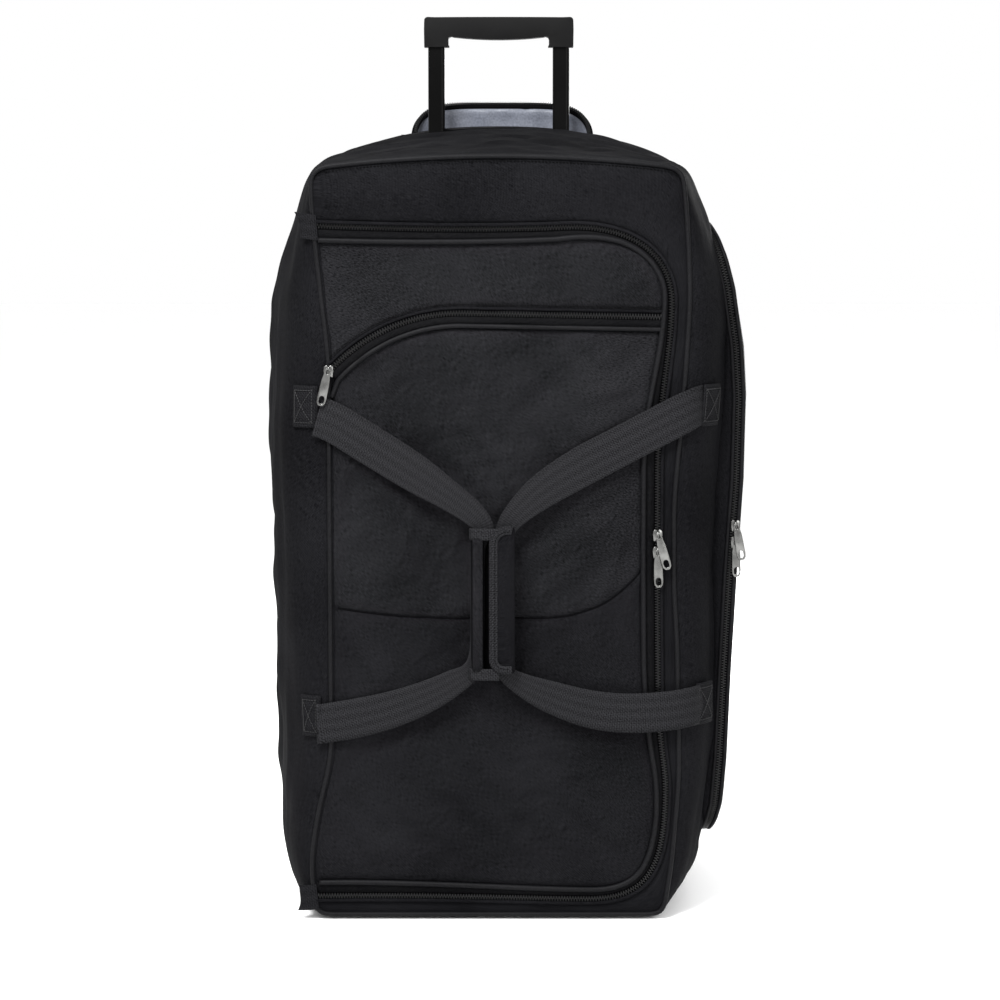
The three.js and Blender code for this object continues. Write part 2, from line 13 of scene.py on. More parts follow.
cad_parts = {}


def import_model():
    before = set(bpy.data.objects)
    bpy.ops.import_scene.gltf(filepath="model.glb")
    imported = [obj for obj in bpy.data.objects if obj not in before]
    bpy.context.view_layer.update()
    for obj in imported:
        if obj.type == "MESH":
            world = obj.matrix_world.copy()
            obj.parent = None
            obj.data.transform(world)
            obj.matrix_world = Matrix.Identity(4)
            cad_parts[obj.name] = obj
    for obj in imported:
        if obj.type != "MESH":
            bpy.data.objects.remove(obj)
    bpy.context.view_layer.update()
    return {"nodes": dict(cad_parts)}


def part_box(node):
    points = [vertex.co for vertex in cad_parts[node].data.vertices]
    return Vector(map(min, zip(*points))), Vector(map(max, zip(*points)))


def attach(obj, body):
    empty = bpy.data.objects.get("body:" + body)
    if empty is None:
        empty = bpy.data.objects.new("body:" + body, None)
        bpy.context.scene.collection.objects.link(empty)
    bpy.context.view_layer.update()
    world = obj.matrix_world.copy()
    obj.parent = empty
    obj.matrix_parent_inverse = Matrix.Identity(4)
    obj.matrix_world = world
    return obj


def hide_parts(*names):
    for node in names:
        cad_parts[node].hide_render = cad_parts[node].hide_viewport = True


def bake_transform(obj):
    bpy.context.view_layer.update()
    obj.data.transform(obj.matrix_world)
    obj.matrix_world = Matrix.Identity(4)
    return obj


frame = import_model()


# ---- the design frame ----
def middle(node):
    """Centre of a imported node's box, in metres."""
    low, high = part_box(node)
    return (low + high) / 2


TUBE_X, TUBE_Y = 71.0, 150.0
SHIFT = np.array([
    (middle("tyre_left").x + middle("tyre_right").x) / 2,
    middle("inner_tube_left").y - TUBE_Y / 1000,
    0.0,
])


def world(points):
    """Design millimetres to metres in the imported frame."""
    return np.asarray(points, float) / 1000 + SHIFT


def unworld(point):
    """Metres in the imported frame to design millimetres."""
    return (np.asarray(point, float) - SHIFT) * 1000


def design_box(node):
    """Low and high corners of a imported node, in design millimetres."""
    return [unworld(corner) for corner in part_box(node)]


# ---- driving dimensions ----
FRONT_Y, BACK_Y = -175.0, 165.0
FRONT_TOP, FRONT_CROWN = 795.0, 12.0
BACK_HALF, BACK_TOP, BACK_CROWN = 204.0, 800.0, 46.0
BOTTOM = 6.0
CLOTH = 1.6
TAPE_THICKNESS = 0.9
TEETH_PITCH = 2.9
TOOTH = (1.25, 4.4, 1.9)
STITCH = (2.5, 0.75, 0.6)
# Length and width of a tooth's or stitch's top, as a share of its foot.
BLOCK_TAPER = 0.55
# Points well inside the bag and well behind its front, which tell a sheet's inner side.
BAG_MIDDLE = (0, 0, 400)
BEHIND_FRONT = (0, 300, 400)
OUT = np.array([0.0, -1.0, 0.0])
# Openings in the body for the two wheels, and for the trolley as two corners.
WHEEL_BAY = {"x": 152, "half": 36, "y": (102, 200), "z": (-20, 104)}
TROLLEY_SLOT = ((-112, 134, 780), (112, 171, 900))

# Seams and swells by height: (heights, values), lowest first.
LEFT_SEAM = ((8, 57, 80, 122, 158, 176, 600, 650, 705, 762, 800),
             (-194, -199, -197, -190, -181, -177, -178, -184, -190, -195, -196))
RIGHT_SEAM = ((8, 55, 155, 299, 362, 448, 560, 658, 733, 800),
              (175, 183, 191, 188, 184, 184, 194, 200, 197, 191))
LEFT_SWELL = ((5, 71, 140, 230, 409, 497, 586, 674, 762, 800), (24, 34, 46, 54, 57, 61, 58, 47, 17, 5))
RIGHT_SWELL = ((5, 48, 100, 200, 400, 560, 674, 740, 800), (24, 27, 33, 43, 48, 47, 39, 24, 6))


def curve_value(table, z):
    """Value of a (heights, values) table at a height."""
    return np.interp(z, table[0], table[1])


def triangle_mean(values, width):
    """Running mean with triangular weights; the values are already padded by width + 1."""
    kernel = np.bartlett(2 * width + 3)
    kernel /= kernel.sum()
    return np.convolve(values, kernel, mode="valid")


def smooth(values, width):
    """Rounds a sampled line, keeping its ends."""
    return triangle_mean(np.pad(values, width + 1, mode="edge"), width)


HEIGHTS = np.linspace(-20, 840, 431)
SEAM_L = smooth(curve_value(LEFT_SEAM, HEIGHTS), 9)
SEAM_R = smooth(curve_value(RIGHT_SEAM, HEIGHTS), 14)


def seam_left(z):
    """X of the left front seam at a height."""
    return np.interp(z, HEIGHTS, SEAM_L)


def seam_right(z):
    """X of the right front seam at a height."""
    return np.interp(z, HEIGHTS, SEAM_R)


# ---- small numeric helpers ----
def lerp(a, b, t):
    return a + (b - a) * t


def unit(vectors):
    """Vectors scaled to length 1."""
    length = np.linalg.norm(vectors, axis=-1, keepdims=True)
    return vectors / np.maximum(length, 1e-9)


def distances(points):
    """Length travelled along a polyline at each of its points."""
    return np.r_[0, np.cumsum(np.linalg.norm(np.diff(points, axis=0), axis=1))]


def directions(points, closed=False):
    """Unit direction of travel at each point of a path."""
    if closed:
        return unit(np.roll(points, -1, axis=0) - np.roll(points, 1, axis=0))
    return unit(np.gradient(points, axis=0))


def resample(points, count, closed=False):
    """Evenly spaced points along a polyline."""
    line = np.vstack([points, points[:1]]) if closed else np.asarray(points, float)
    steps = distances(line)
    at = np.linspace(0, steps[-1], count, endpoint=not closed)
    return np.stack([np.interp(at, steps, line[:, k]) for k in range(line.shape[1])], axis=1)


def path_length(points):
    return np.linalg.norm(np.diff(points, axis=0), axis=1).sum()


def round_loop(points, width):
    """Rounds the corners of an evenly sampled closed loop."""
    wrapped = np.vstack([points[-width - 1:], points, points[:width + 1]])
    return np.stack([triangle_mean(column, width) for column in wrapped.T], axis=1)


def bezier(a, b, c, d, count=24):
    """Points on a cubic curve from a to d."""
    t = np.linspace(0, 1, count)[:, None]
    a, b, c, d = (np.array(p, float) for p in (a, b, c, d))
    return (1 - t) ** 3 * a + 3 * (1 - t) ** 2 * t * b + 3 * (1 - t) * t ** 2 * c + t ** 3 * d


def sideways(points, distance):
    """A flat path (x, z) moved to its left by one distance, or by one for each point."""
    ahead = directions(points)
    return points + np.stack([-ahead[:, 1], ahead[:, 0]], axis=1) * np.reshape(distance, (-1, 1))


def wobble(point, scale, seed):
    """Smooth noise from -1 to 1 at a design point."""
    return noise.noise(Vector((point[0] / scale[0] + seed, point[1] / scale[1], point[2] / scale[2])))


def spline(stations, count):
    """Catmull-Rom through rows of numbers; every column is interpolated."""
    rows = np.asarray(stations, float)
    rows = np.vstack([2 * rows[0] - rows[1], rows, 2 * rows[-1] - rows[-2]])
    out = []
    for t in np.linspace(0, len(rows) - 3, count):
        i = min(int(t), len(rows) - 4)
        f = t - i
        p0, p1, p2, p3 = rows[i:i + 4]
        out.append(0.5 * (2 * p1 + (p2 - p0) * f + (2 * p0 - 5 * p1 + 4 * p2 - p3) * f ** 2
                          + (3 * p1 - p0 - 3 * p2 + p3) * f ** 3))
    return np.array(out)


# ---- mesh helpers ----
def set_uv(mesh, uv):
    """Writes the cloth coordinates of a mesh, given in millimetres for each of its points."""
    corner = np.empty(len(mesh.loops), np.int32)
    mesh.loops.foreach_get("vertex_index", corner)
    mesh.uv_layers["cloth"].data.foreach_set("uv", np.asarray(uv, float)[corner].ravel() / 1000)


def piece(name, points, faces, material, body, slot, uv=None, replaces=(), flat=False):
    """A mesh of design points that rides on a body; uv is per point, in millimetres."""
    mesh = bpy.data.meshes.new(name)
    mesh.from_pydata(world(points).tolist(), [], [list(map(int, f)) for f in faces])
    if uv is not None:
        mesh.uv_layers.new(name="cloth")
        set_uv(mesh, uv)
    bm = bmesh.new()
    bm.from_mesh(mesh)
    bmesh.ops.recalc_face_normals(bm, faces=bm.faces)
    bm.to_mesh(mesh)
    bm.free()
    if not flat:
        mesh.shade_smooth()
    mesh.materials.append(MATERIALS[material])
    obj = bpy.data.objects.new(name, mesh)
    bpy.context.scene.collection.objects.link(obj)
    if body:
        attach(obj, body)
    if replaces:
        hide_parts(*replaces)
    return obj


def grid_faces(rows, columns, closed, start=0, flip=False):
    """Quads over a grid of points; closed joins the last column to the first."""
    faces = []
    for j in range(rows - 1):
        for i in range(columns if closed else columns - 1):
            k = (i + 1) % columns
            quad = [start + j * columns + i, start + j * columns + k,
                    start + (j + 1) * columns + k, start + (j + 1) * columns + i]
            faces.append(quad[::-1] if flip else quad)
    return faces


def grid_normals(grid, closed):
    if closed:
        du = np.roll(grid, -1, axis=1) - np.roll(grid, 1, axis=1)
    else:
        du = np.gradient(grid, axis=1)
    dv = np.gradient(grid, axis=0)
    return unit(np.cross(du, dv))


def grid_lengths(grid):
    """Lengths along the rows and up the columns of a grid, at each of its points."""
    along = np.linalg.norm(np.diff(grid, axis=1, prepend=grid[:, :1]), axis=2).cumsum(axis=1)
    up = np.linalg.norm(np.diff(grid, axis=0, prepend=grid[:1]), axis=2).cumsum(axis=0)
    return along, up


def cloth(name, grid, material, body, slot, thickness=CLOTH, closed=False, inward=None, **options):
    """A closed thin solid on a grid of points; inward is a point or direction on its inner side."""
    grid = np.asarray(grid, float)
    rows, columns = grid.shape[:2]
    normals = grid_normals(grid, closed)
    if inward is not None:
        wanted = np.asarray(inward, float) - grid if np.ndim(inward) == 1 else inward
        if (normals * wanted).sum() > 0:
            normals = -normals
    inner = grid - normals * thickness
    uv = np.stack(grid_lengths(grid), axis=2).reshape(-1, 2)
    count = rows * columns
    faces = grid_faces(rows, columns, closed) + grid_faces(rows, columns, closed, count, True)
    span = columns if closed else columns - 1
    for i in range(span):
        k = (i + 1) % columns
        top = (rows - 1) * columns
        faces.append([i, count + i, count + k, k])
        faces.append([top + i, top + k, count + top + k, count + top + i])
    if not closed:
        for j in range(rows - 1):
            a, b = j * columns, (j + 1) * columns
            faces.append([a, b, count + b, count + a])
            a, b = a + columns - 1, b + columns - 1
            faces.append([a, count + a, count + b, b])
    points = np.vstack([grid.reshape(-1, 3), inner.reshape(-1, 3)])
    return piece(name, points, faces, material, body, slot, np.vstack([uv, uv]), **options)


def swept(path, ups, profile, closed=False):
    """Points and faces of a profile of (across, up) pairs carried along a path."""
    path = np.asarray(path, float)
    ahead = directions(path, closed)
    ups = np.broadcast_to(np.asarray(ups, float), path.shape)
    across = unit(np.cross(ahead, ups))
    ups = unit(np.cross(across, ahead))
    profile = np.asarray(profile, float)
    if profile.ndim == 2:
        profile = np.broadcast_to(profile, (len(path), *profile.shape))
    grid = path[:, None] + across[:, None] * profile[..., :1] + ups[:, None] * profile[..., 1:]
    rows, columns = grid.shape[:2]
    faces = grid_faces(rows, columns, True)
    if closed:
        last = (rows - 1) * columns
        for i in range(columns):
            k = (i + 1) % columns
            faces.append([last + i, last + k, k, i])
    else:
        faces.append(list(range(columns))[::-1])
        faces.append([(rows - 1) * columns + i for i in range(columns)])
    around = distances(profile[0])
    uv = np.stack(np.meshgrid(distances(path), around, indexing="ij"), axis=2).reshape(-1, 2)
    return grid.reshape(-1, 3), faces, uv


def circle(radius, sides=10, squash=1.0):
    """Round or oval profile."""
    turn = np.linspace(0, 2 * math.pi, sides, endpoint=False)
    return np.stack([radius * np.cos(turn), radius * squash * np.sin(turn)], axis=1)


def swept_piece(name, path, ups, profile, material, body, slot, closed=False, replaces=()):
    """A piece that is one profile carried along a path."""
    points, faces, uv = swept(path, ups, profile, closed)
    return piece(name, points, faces, material, body, slot, uv, replaces)


def piping(name, path, ups, radius, body, closed=False, replaces=(), material="piping", slot="piping"):
    """A round cord of cloth along a seam."""
    return swept_piece(name, path, ups, circle(radius), material, body, slot, closed, replaces)


def blocks(centres, aheads, ups, size):
    """Many small chamfered blocks as one mesh: size is (length, width, height)."""
    length, width, height = (s / 2 for s in size)
    base = [(-length, -width), (length, -width), (length, width), (-length, width)]
    corner = [(p, q, -height) for p, q in base]
    corner += [(p * BLOCK_TAPER, q * BLOCK_TAPER, height) for p, q in base]
    sides = [(0, 3, 2, 1), (4, 5, 6, 7), (0, 1, 5, 4), (1, 2, 6, 5), (2, 3, 7, 6), (3, 0, 4, 7)]
    across = unit(np.cross(aheads, ups))
    points, faces = [], []
    for c, a, x, u in zip(centres, aheads, across, ups):
        start = len(points)
        points += [c + a * p + x * q + u * r for p, q, r in corner]
        faces += [[start + i for i in f] for f in sides]
    return np.array(points), faces


def along_path(path, ups, pitch, closed=False):
    """Evenly spaced places on a path with their directions."""
    path = np.asarray(path, float)
    ups = np.broadcast_to(np.asarray(ups, float), path.shape)
    line = np.vstack([path, path[:1]]) if closed else path
    count = max(2, int(path_length(line) / pitch))
    both = resample(np.hstack([path, ups]), count, closed)
    centres = both[:, :3]
    return centres, directions(centres, closed), unit(both[:, 3:])


def teeth(name, path, ups, side, body, closed=False):
    """One half of a zip chain: moulded teeth that lean over the centre line from one side."""
    centres, aheads, ups = along_path(path, ups, TEETH_PITCH, closed)
    across = unit(np.cross(aheads, ups))
    half = aheads * (TEETH_PITCH / 4) * side
    points, faces = blocks(centres + half + across * side * 1.15, aheads, ups, TOOTH)
    return piece(name, points, faces, "teeth", body, "zip_tape", flat=True)


def stitches(name, path, ups, body, pitch=3.6, material="dark_thread"):
    """A row of raised stitches along a path."""
    points, faces = blocks(*along_path(path, ups, pitch), STITCH)
    return piece(name, points, faces, material, body, "piping", flat=True)


def band(name, path, ups, near, far, lift, material, body, slot, closed=False, replaces=()):
    """A flat strip beside a path, from one sideways offset to another."""
    low = lift - TAPE_THICKNESS
    profile = [(near, lift), (far, lift), (far, low), (near, low)]
    return swept_piece(name, path, ups, profile, material, body, slot, closed, replaces)


def cut(obj, low, high):
    """Takes a box, given by two design corners, out of a piece."""
    size = (np.array(high) - np.array(low)) / 1000
    centre = world((np.array(low, float) + np.array(high, float)) / 2)
    bpy.ops.mesh.primitive_cube_add(size=1, location=centre)
    cutter = bpy.context.active_object
    cutter.scale = size
    modifier = obj.modifiers.new("cut", "BOOLEAN")
    modifier.operation = "DIFFERENCE"
    modifier.solver = "MANIFOLD"
    modifier.object = cutter
    bpy.context.view_layer.objects.active = obj
    bpy.ops.object.modifier_apply(modifier="cut")
    bpy.data.objects.remove(cutter)


def cut_wheel_bays(obj):
    """Opens the lower back corners of a piece for the two wheels."""
    bay = WHEEL_BAY
    for side in (-1, 1):
        x = side * bay["x"]
        cut(obj, (x - bay["half"], bay["y"][0], bay["z"][0]), (x + bay["half"], bay["y"][1], bay["z"][1]))


def finish_edges(obj, width, segments=2):
    """Bevels a piece's hard edges."""
    modifier = obj.modifiers.new("bevel", "BEVEL")
    modifier.width = width / 1000
    modifier.segments = segments
    modifier.limit_method = "ANGLE"
    modifier.angle_limit = math.radians(40)
    bpy.context.view_layer.objects.active = obj
    bpy.ops.object.modifier_apply(modifier="bevel")


# ---- materials ----
def linear(value):
    """sRGB grey level, 0 to 255, as linear light."""
    value /= 255
    return value / 12.92 if value <= 0.04045 else ((value + 0.055) / 1.055) ** 2.4


def colour(red, green, blue):
    """sRGB levels, 0 to 255, as a linear colour."""
    return (linear(red), linear(green), linear(blue), 1)


class Nodes:
    """A material's node tree with a short way to add and link nodes."""

    def __init__(self, name, roughness, specular, metallic=0.0, sheen=0.0):
        self.material = bpy.data.materials.new(name)
        self.material.use_nodes = True
        self.tree = self.material.node_tree
        self.shader = self.tree.nodes["Principled BSDF"]
        self.shader.inputs["Roughness"].default_value = roughness
        self.shader.inputs["Specular IOR Level"].default_value = specular
        self.shader.inputs["Metallic"].default_value = metallic
        self.shader.inputs["Sheen Weight"].default_value = sheen
        self.shader.inputs["Sheen Roughness"].default_value = 0.5

    def add(self, kind, inputs=None, **settings):
        node = self.tree.nodes.new(kind)
        for key, value in settings.items():
            setattr(node, key, value)
        for key, value in (inputs or {}).items():
            if isinstance(value, bpy.types.NodeSocket):
                self.tree.links.new(value, node.inputs[key])
            else:
                node.inputs[key].default_value = value
        return node

    def maths(self, operation, a, b=0.0):
        return self.add("ShaderNodeMath", {0: a, 1: b}, operation=operation).outputs[0]

    def wave(self, socket, pitch):
        """A sine wave that repeats every pitch metres."""
        return self.maths("SINE", self.maths("MULTIPLY", socket, 2 * math.pi / pitch))

    def mix(self, *terms):
        """The sum of some sockets, each times its weight."""
        scaled = [self.maths("MULTIPLY", socket, weight) for socket, weight in terms]
        total = scaled[0]
        for term in scaled[1:]:
            total = self.maths("ADD", total, term)
        return total

    def noise(self, vector, scale, detail):
        inputs = {"Vector": vector, "Scale": scale, "Detail": detail}
        return self.add("ShaderNodeTexNoise", inputs).outputs["Fac"]

    def ramp(self, factor, dark, light, low=0.3, high=0.7):
        node = self.add("ShaderNodeValToRGB", {"Fac": factor})
        node.color_ramp.elements[0].color = dark
        node.color_ramp.elements[1].color = light
        node.color_ramp.elements[0].position = low
        node.color_ramp.elements[1].position = high
        return node.outputs["Color"]

    def bump(self, height, strength, distance):
        inputs = {"Height": height, "Strength": strength, "Distance": distance}
        node = self.add("ShaderNodeBump", inputs)
        self.tree.links.new(node.outputs["Normal"], self.shader.inputs["Normal"])

    def vary_roughness(self, factor, low, high):
        node = self.add("ShaderNodeMapRange", {"Value": factor, 3: low, 4: high})
        self.tree.links.new(node.outputs[0], self.shader.inputs["Roughness"])

    def base(self, socket):
        self.tree.links.new(socket, self.shader.inputs["Base Color"])

    def object_space(self):
        return self.add("ShaderNodeTexCoord").outputs["Object"]

    def cloth_uv(self):
        """The cloth's own surface coordinates, in metres, as two sockets and a vector."""
        vector = self.add("ShaderNodeUVMap", uv_map="cloth").outputs["UV"]
        split = self.add("ShaderNodeSeparateXYZ", {"Vector": vector})
        return split.outputs["X"], split.outputs["Y"], vector


def woven(name, dark, light, pitch, roughness=0.85, specular=0.03):
    """Twill: streaked diagonal grain over warp and weft, uneven yarns and soft large-scale tone."""
    m = Nodes(name, roughness, specular)
    u, v, vector = m.cloth_uv()
    weave = m.maths("MULTIPLY", m.wave(u, pitch), m.wave(v, pitch))
    streaks = m.add("ShaderNodeCombineXYZ", {"X": m.maths("MULTIPLY", m.maths("ADD", u, v), 1000.0),
                                             "Y": m.maths("MULTIPLY", m.maths("SUBTRACT", u, v), 150.0)})
    twill = m.noise(streaks.outputs["Vector"], 1.0, 2.0)
    yarn = m.noise(vector, 720.0, 2.0)
    cloud = m.noise(m.object_space(), 9.0, 3.0)
    tone = m.mix((twill, 0.8), (yarn, 0.4), (cloud, 0.35), (weave, 0.05))
    m.base(m.ramp(tone, colour(*dark), colour(*light), 0.62, 0.94))
    m.bump(m.mix((weave, 0.3), (twill, 1.2), (yarn, 0.3)), 0.45, 0.0003)
    return m.material


def ribbed_web(name, dark, light):
    """Flat luggage webbing: fine ribs across and broad tonal rows along it."""
    m = Nodes(name, 0.75, 0.04)
    u, v, vector = m.cloth_uv()
    chevron = m.wave(m.maths("SUBTRACT", u, v), 0.0036)
    weave = m.mix((m.wave(u, 0.0024), 0.25), (chevron, 0.2), (m.wave(v, 0.0019), 0.15))
    yarn = m.noise(vector, 700.0, 2.0)
    tone = m.mix((weave, 0.35), (yarn, 1.0), (m.wave(v, 0.0105), 0.045))
    m.base(m.ramp(tone, colour(*dark), colour(*light), 0.25, 0.8))
    m.bump(m.mix((weave, 1.0), (yarn, 0.5)), 0.7, 0.0005)
    return m.material


def satin(name, dark, light):
    """Thin lining cloth with a soft sheen and a slightly crushed surface."""
    m = Nodes(name, 0.5, 0.45, sheen=0.3)
    u, v, vector = m.cloth_uv()
    fine = m.wave(m.maths("ADD", u, v), 0.0012)
    crush = m.noise(m.object_space(), 34.0, 5.0)
    m.base(m.ramp(m.noise(vector, 420.0, 2.0), colour(*dark), colour(*light), 0.2, 0.8))
    m.bump(m.mix((fine, 0.02), (crush, 1.0)), 0.3, 0.003)
    return m.material


def moulded(name, level, roughness, grain, specular):
    """Moulded plastic: fine spark grain, slightly shinier high spots."""
    m = Nodes(name, roughness, specular)
    place = m.object_space()
    fine = m.noise(place, grain, 2.0)
    patch = m.noise(place, 22.0, 3.0)
    m.base(m.ramp(patch, colour(level * 0.8, level * 0.8, level * 0.82),
                  colour(level * 1.25, level * 1.25, level * 1.27)))
    m.vary_roughness(patch, roughness - 0.08, roughness + 0.1)
    m.bump(fine, 0.25, 0.0004)
    return m.material


def metal(name, level, roughness):
    """Bright metal with a faint cloud of wear and fine scratches."""
    m = Nodes(name, roughness, 0.5, 1.0)
    place = m.object_space()
    cloud = m.noise(place, 60.0, 4.0)
    scratch = m.noise(place, 900.0, 2.0)
    m.base(m.ramp(cloud, colour(level * 0.7, level * 0.7, level * 0.69), colour(level, level, level * 0.985)))
    m.vary_roughness(cloud, roughness * 0.7, roughness * 1.4)
    m.bump(scratch, 0.08, 0.0002)
    return m.material


def painted(name, level):
    """Black satin paint with a faint orange peel."""
    m = Nodes(name, 0.3, 0.05)
    place = m.object_space()
    peel = m.noise(place, 240.0, 2.0)
    m.base(m.ramp(m.noise(place, 30.0, 3.0), colour(level * 0.8, level * 0.8, level * 0.8),
                  colour(level * 1.3, level * 1.3, level * 1.3)))
    m.bump(peel, 0.12, 0.0004)
    return m.material


MATERIALS = {
    "shell": woven("shell_fabric", (2, 2, 3), (20, 20, 22), 0.0029),
    "back": woven("base_fabric", (2, 2, 3), (19, 19, 21), 0.0034),
    "pocket": woven("pocket_fabric", (4, 4, 5), (28, 28, 30), 0.0029),
    # Painted shade: the lid's lower panel is the lid cloth made darker, because less light reaches the
    # bottom.
    "lower": woven("lower_panel_fabric_painted_shade", (3, 3, 4), (22, 22, 24), 0.0029),
    # Painted shade: facing cloth darker than the shell, for the shade in the recess between piping and zip.
    "facing": woven("facing_fabric_painted_shade", (2, 2, 3), (15, 15, 16), 0.0022),
    # Painted shade: piping is the shell cloth made darker, for the shade in the seam creases beside it.
    "piping": woven("piping_fabric_painted_shade", (2, 2, 3), (17, 17, 19), 0.0022, 0.55, 0.08),
    # Near-black zip tape: partly its own black, partly painted shade where the zips sink under their lips;
    # also the dark cloth for the grip wrap's gap and the lid's lower seam.
    "tape": woven("zip_tape", (1, 1, 2), (7, 7, 8), 0.0018, 0.8),
    "binding": ribbed_web("binding", (3, 3, 4), (38, 38, 40)),
    "web": ribbed_web("webbing", (7, 7, 8), (36, 36, 38)),
    "tab_web": ribbed_web("tab_webbing", (3, 3, 4), (25, 25, 27)),
    "lining": satin("lining", (64, 67, 76), (96, 100, 111)),
    "teeth": moulded("zip_teeth", 15, 0.3, 900.0, 0.4),
    "thread": moulded("thread", 38, 0.7, 500.0, 0.05),
    "dark_thread": moulded("dark_thread", 4, 0.8, 500.0, 0.03),
    "plastic": moulded("moulded_plastic", 12, 0.68, 700.0, 0.05),
    "grip": moulded("grip_plastic", 10, 0.58, 900.0, 0.07),
    "board": moulded("board", 42, 0.8, 300.0, 0.1),
    "rubber": moulded("tyre_rubber", 13, 0.78, 400.0, 0.1),
    "nickel": metal("nickel", 118, 0.26),
    "steel": metal("steel", 130, 0.34),
    "aluminium": metal("tube_aluminium", 145, 0.35),
    "black_tube": painted("tube_black", 4),
}


# ---- shape of the soft body ----
LOOP_COUNT = 640


def front_loop():
    """Front seam, clockwise from the bottom left as seen from the front: (x, z) pairs."""
    up = np.linspace(BOTTOM, FRONT_TOP - 4, 60)
    left = np.stack([seam_left(up), up], axis=1)
    x = np.linspace(seam_left(800.0), seam_right(800.0), 40)[1:-1]
    top = np.stack([x, FRONT_TOP + FRONT_CROWN * (1 - (x / 190) ** 2)], axis=1)
    down = up[::-1]
    right = np.stack([seam_right(down), down], axis=1)
    x = np.linspace(seam_right(BOTTOM), seam_left(BOTTOM), 40)[1:-1]
    bottom = np.stack([x, np.full_like(x, BOTTOM) - 0.5], axis=1)
    loop = resample(np.vstack([left, top, right, bottom]), LOOP_COUNT, closed=True)
    return round_loop(loop, 5)


def back_crown(x):
    """Height of the domed top along the back seam."""
    return BACK_TOP + BACK_CROWN * (1 - np.abs(x / BACK_HALF) ** 2.5)


def back_loop():
    """Back seam with the same direction and start."""
    z = np.linspace(BOTTOM + 4, BACK_TOP - 4, 60)
    left = np.stack([np.full_like(z, -BACK_HALF), z], axis=1)
    x = np.linspace(-BACK_HALF, BACK_HALF, 60)[1:-1]
    top = np.stack([x, back_crown(x)], axis=1)
    right = np.stack([np.full_like(z, BACK_HALF), z[::-1]], axis=1)
    bottom = np.stack([x[::-1], np.full_like(x, BOTTOM + 3)], axis=1)
    loop = resample(np.vstack([left, top, right, bottom]), LOOP_COUNT, closed=True)
    return round_loop(loop, 9)


FRONT_LOOP = front_loop()
BACK_LOOP = back_loop()


def loop_normals(loop):
    """Outward directions in the plane of a closed flat loop."""
    ahead = directions(loop, closed=True)
    return np.stack([-ahead[:, 1], ahead[:, 0]], axis=1)


def loop_swell(loop, normals):
    """How far each stretch of the loop swells at mid depth."""
    side = np.abs(normals[:, 0]) ** 2
    swell_l = curve_value(LEFT_SWELL, loop[:, 1])
    swell_r = curve_value(RIGHT_SWELL, loop[:, 1])
    sides = np.where(loop[:, 0] < 0, swell_l, swell_r)
    top = np.where(normals[:, 1] > 0, 2.0, 0.0)
    amount = sides * side + top * (1 - side)
    return round_loop(amount[:, None], 10)[:, 0]


def shell_grid(depths, inset=0.0, ripple=1.0):
    """Rows of loops from front to back; each depth is 0 at the front seam and 1 at the back."""
    halfway = lerp(FRONT_LOOP, BACK_LOOP, 0.5)
    normals = round_loop(loop_normals(halfway), 8)
    swell = loop_swell(halfway, normals)
    rows = []
    for depth in depths:
        t = 2 * depth - 1
        round_over = math.sqrt(max(0.0, 1 - t ** 4))
        flat = lerp(FRONT_LOOP, BACK_LOOP, depth) + normals * (swell * round_over - inset)[:, None]
        y = np.full(len(flat), lerp(FRONT_Y, BACK_Y, depth))
        rows.append(np.stack([flat[:, 0], y, flat[:, 1]], axis=1))
    grid = np.array(rows)
    for j, depth in enumerate(depths):
        edge = math.sin(math.pi * min(max(depth, 0.0), 1.0)) ** 0.6
        for i in range(len(FRONT_LOOP)):
            p = grid[j, i]
            soft = wobble(p, (150, 90, 260), 3.7) * 5.0 + wobble(p, (60, 30, 100), 8.1) * 4.4
            soft += wobble(p, (40, 13, 200), 5.3) * 3.6 + wobble(p, (30, 60, 34), 6.1) * 2.4
            if normals[i, 1] < -0.5:
                soft *= 0.15
            grid[j, i, 0] += normals[i, 0] * soft * edge * ripple
            grid[j, i, 2] += normals[i, 1] * soft * edge * ripple
            x, y, z = grid[j, i]
            if x > 150:
                over = max(0.0, x - float(pocket_face(z)) + 9.0 + inset)
                grid[j, i, 0] -= over * under_pocket(y, z)
    return grid


def under_pocket(y, z):
    """1 beneath the side pocket, falling to 0 a little outside its outline."""
    p = POCKET
    r = p["corner"]
    dy = max(p["front"] + r - y, y - p["back"] + r, 0.0)
    dz = max(p["low"] + r - z, z - p["high"] + r, 0.0)
    return min(1.0, max(0.0, 1 - (math.hypot(dy, dz) - r) / 22))


def make_shell():
    """Sides, top and bottom as one wrinkled cloth, with piping round its front and back seams."""
    depths = (1 - np.cos(np.linspace(0, math.pi, 49))) / 2
    grid = shell_grid(depths)
    shell = cloth("body_shell", grid, "shell", "bag_body", "shell_fabric", 2.4, True, inward=BAG_MIDDLE,
                  replaces=("left_side_panel", "right_side_panel", "top_panel", "bottom_panel"))
    cut_wheel_bays(shell)
    cut(shell, *TROLLEY_SLOT)
    outward = in_front(loop_normals(FRONT_LOOP), 0.0)
    piping("front_edge_piping", in_front(FRONT_LOOP, FRONT_Y) + (0, -0.5, 0), outward + (0, -0.6, 0), 2.6,
           "bag_body", True, ("front_seam_piping",))
    outward = in_front(loop_normals(BACK_LOOP), 0.0)
    piping("back_edge_piping", in_front(BACK_LOOP, BACK_Y) - outward * 1.6, outward, 2.0, "bag_body", True)
    return grid


def row_panel(left, right, low, high, y_of, rows, columns):
    """Grid between two edges given by height; y_of(x, z) gives its depth."""
    grid = []
    for z in np.linspace(low, high, rows):
        x = np.linspace(left(z), right(z), columns)
        grid.append([(a, y_of(a, z), z) for a in x])
    return np.array(grid)


def loop_edges(loop):
    """Left and right x of a closed loop by height."""
    def edge(side):
        side = side[np.argsort(side[:, 1])]
        return lambda z: float(np.interp(z, side[:, 1], side[:, 0]))

    return edge(loop[loop[:, 0] < 0]), edge(loop[loop[:, 0] >= 0])


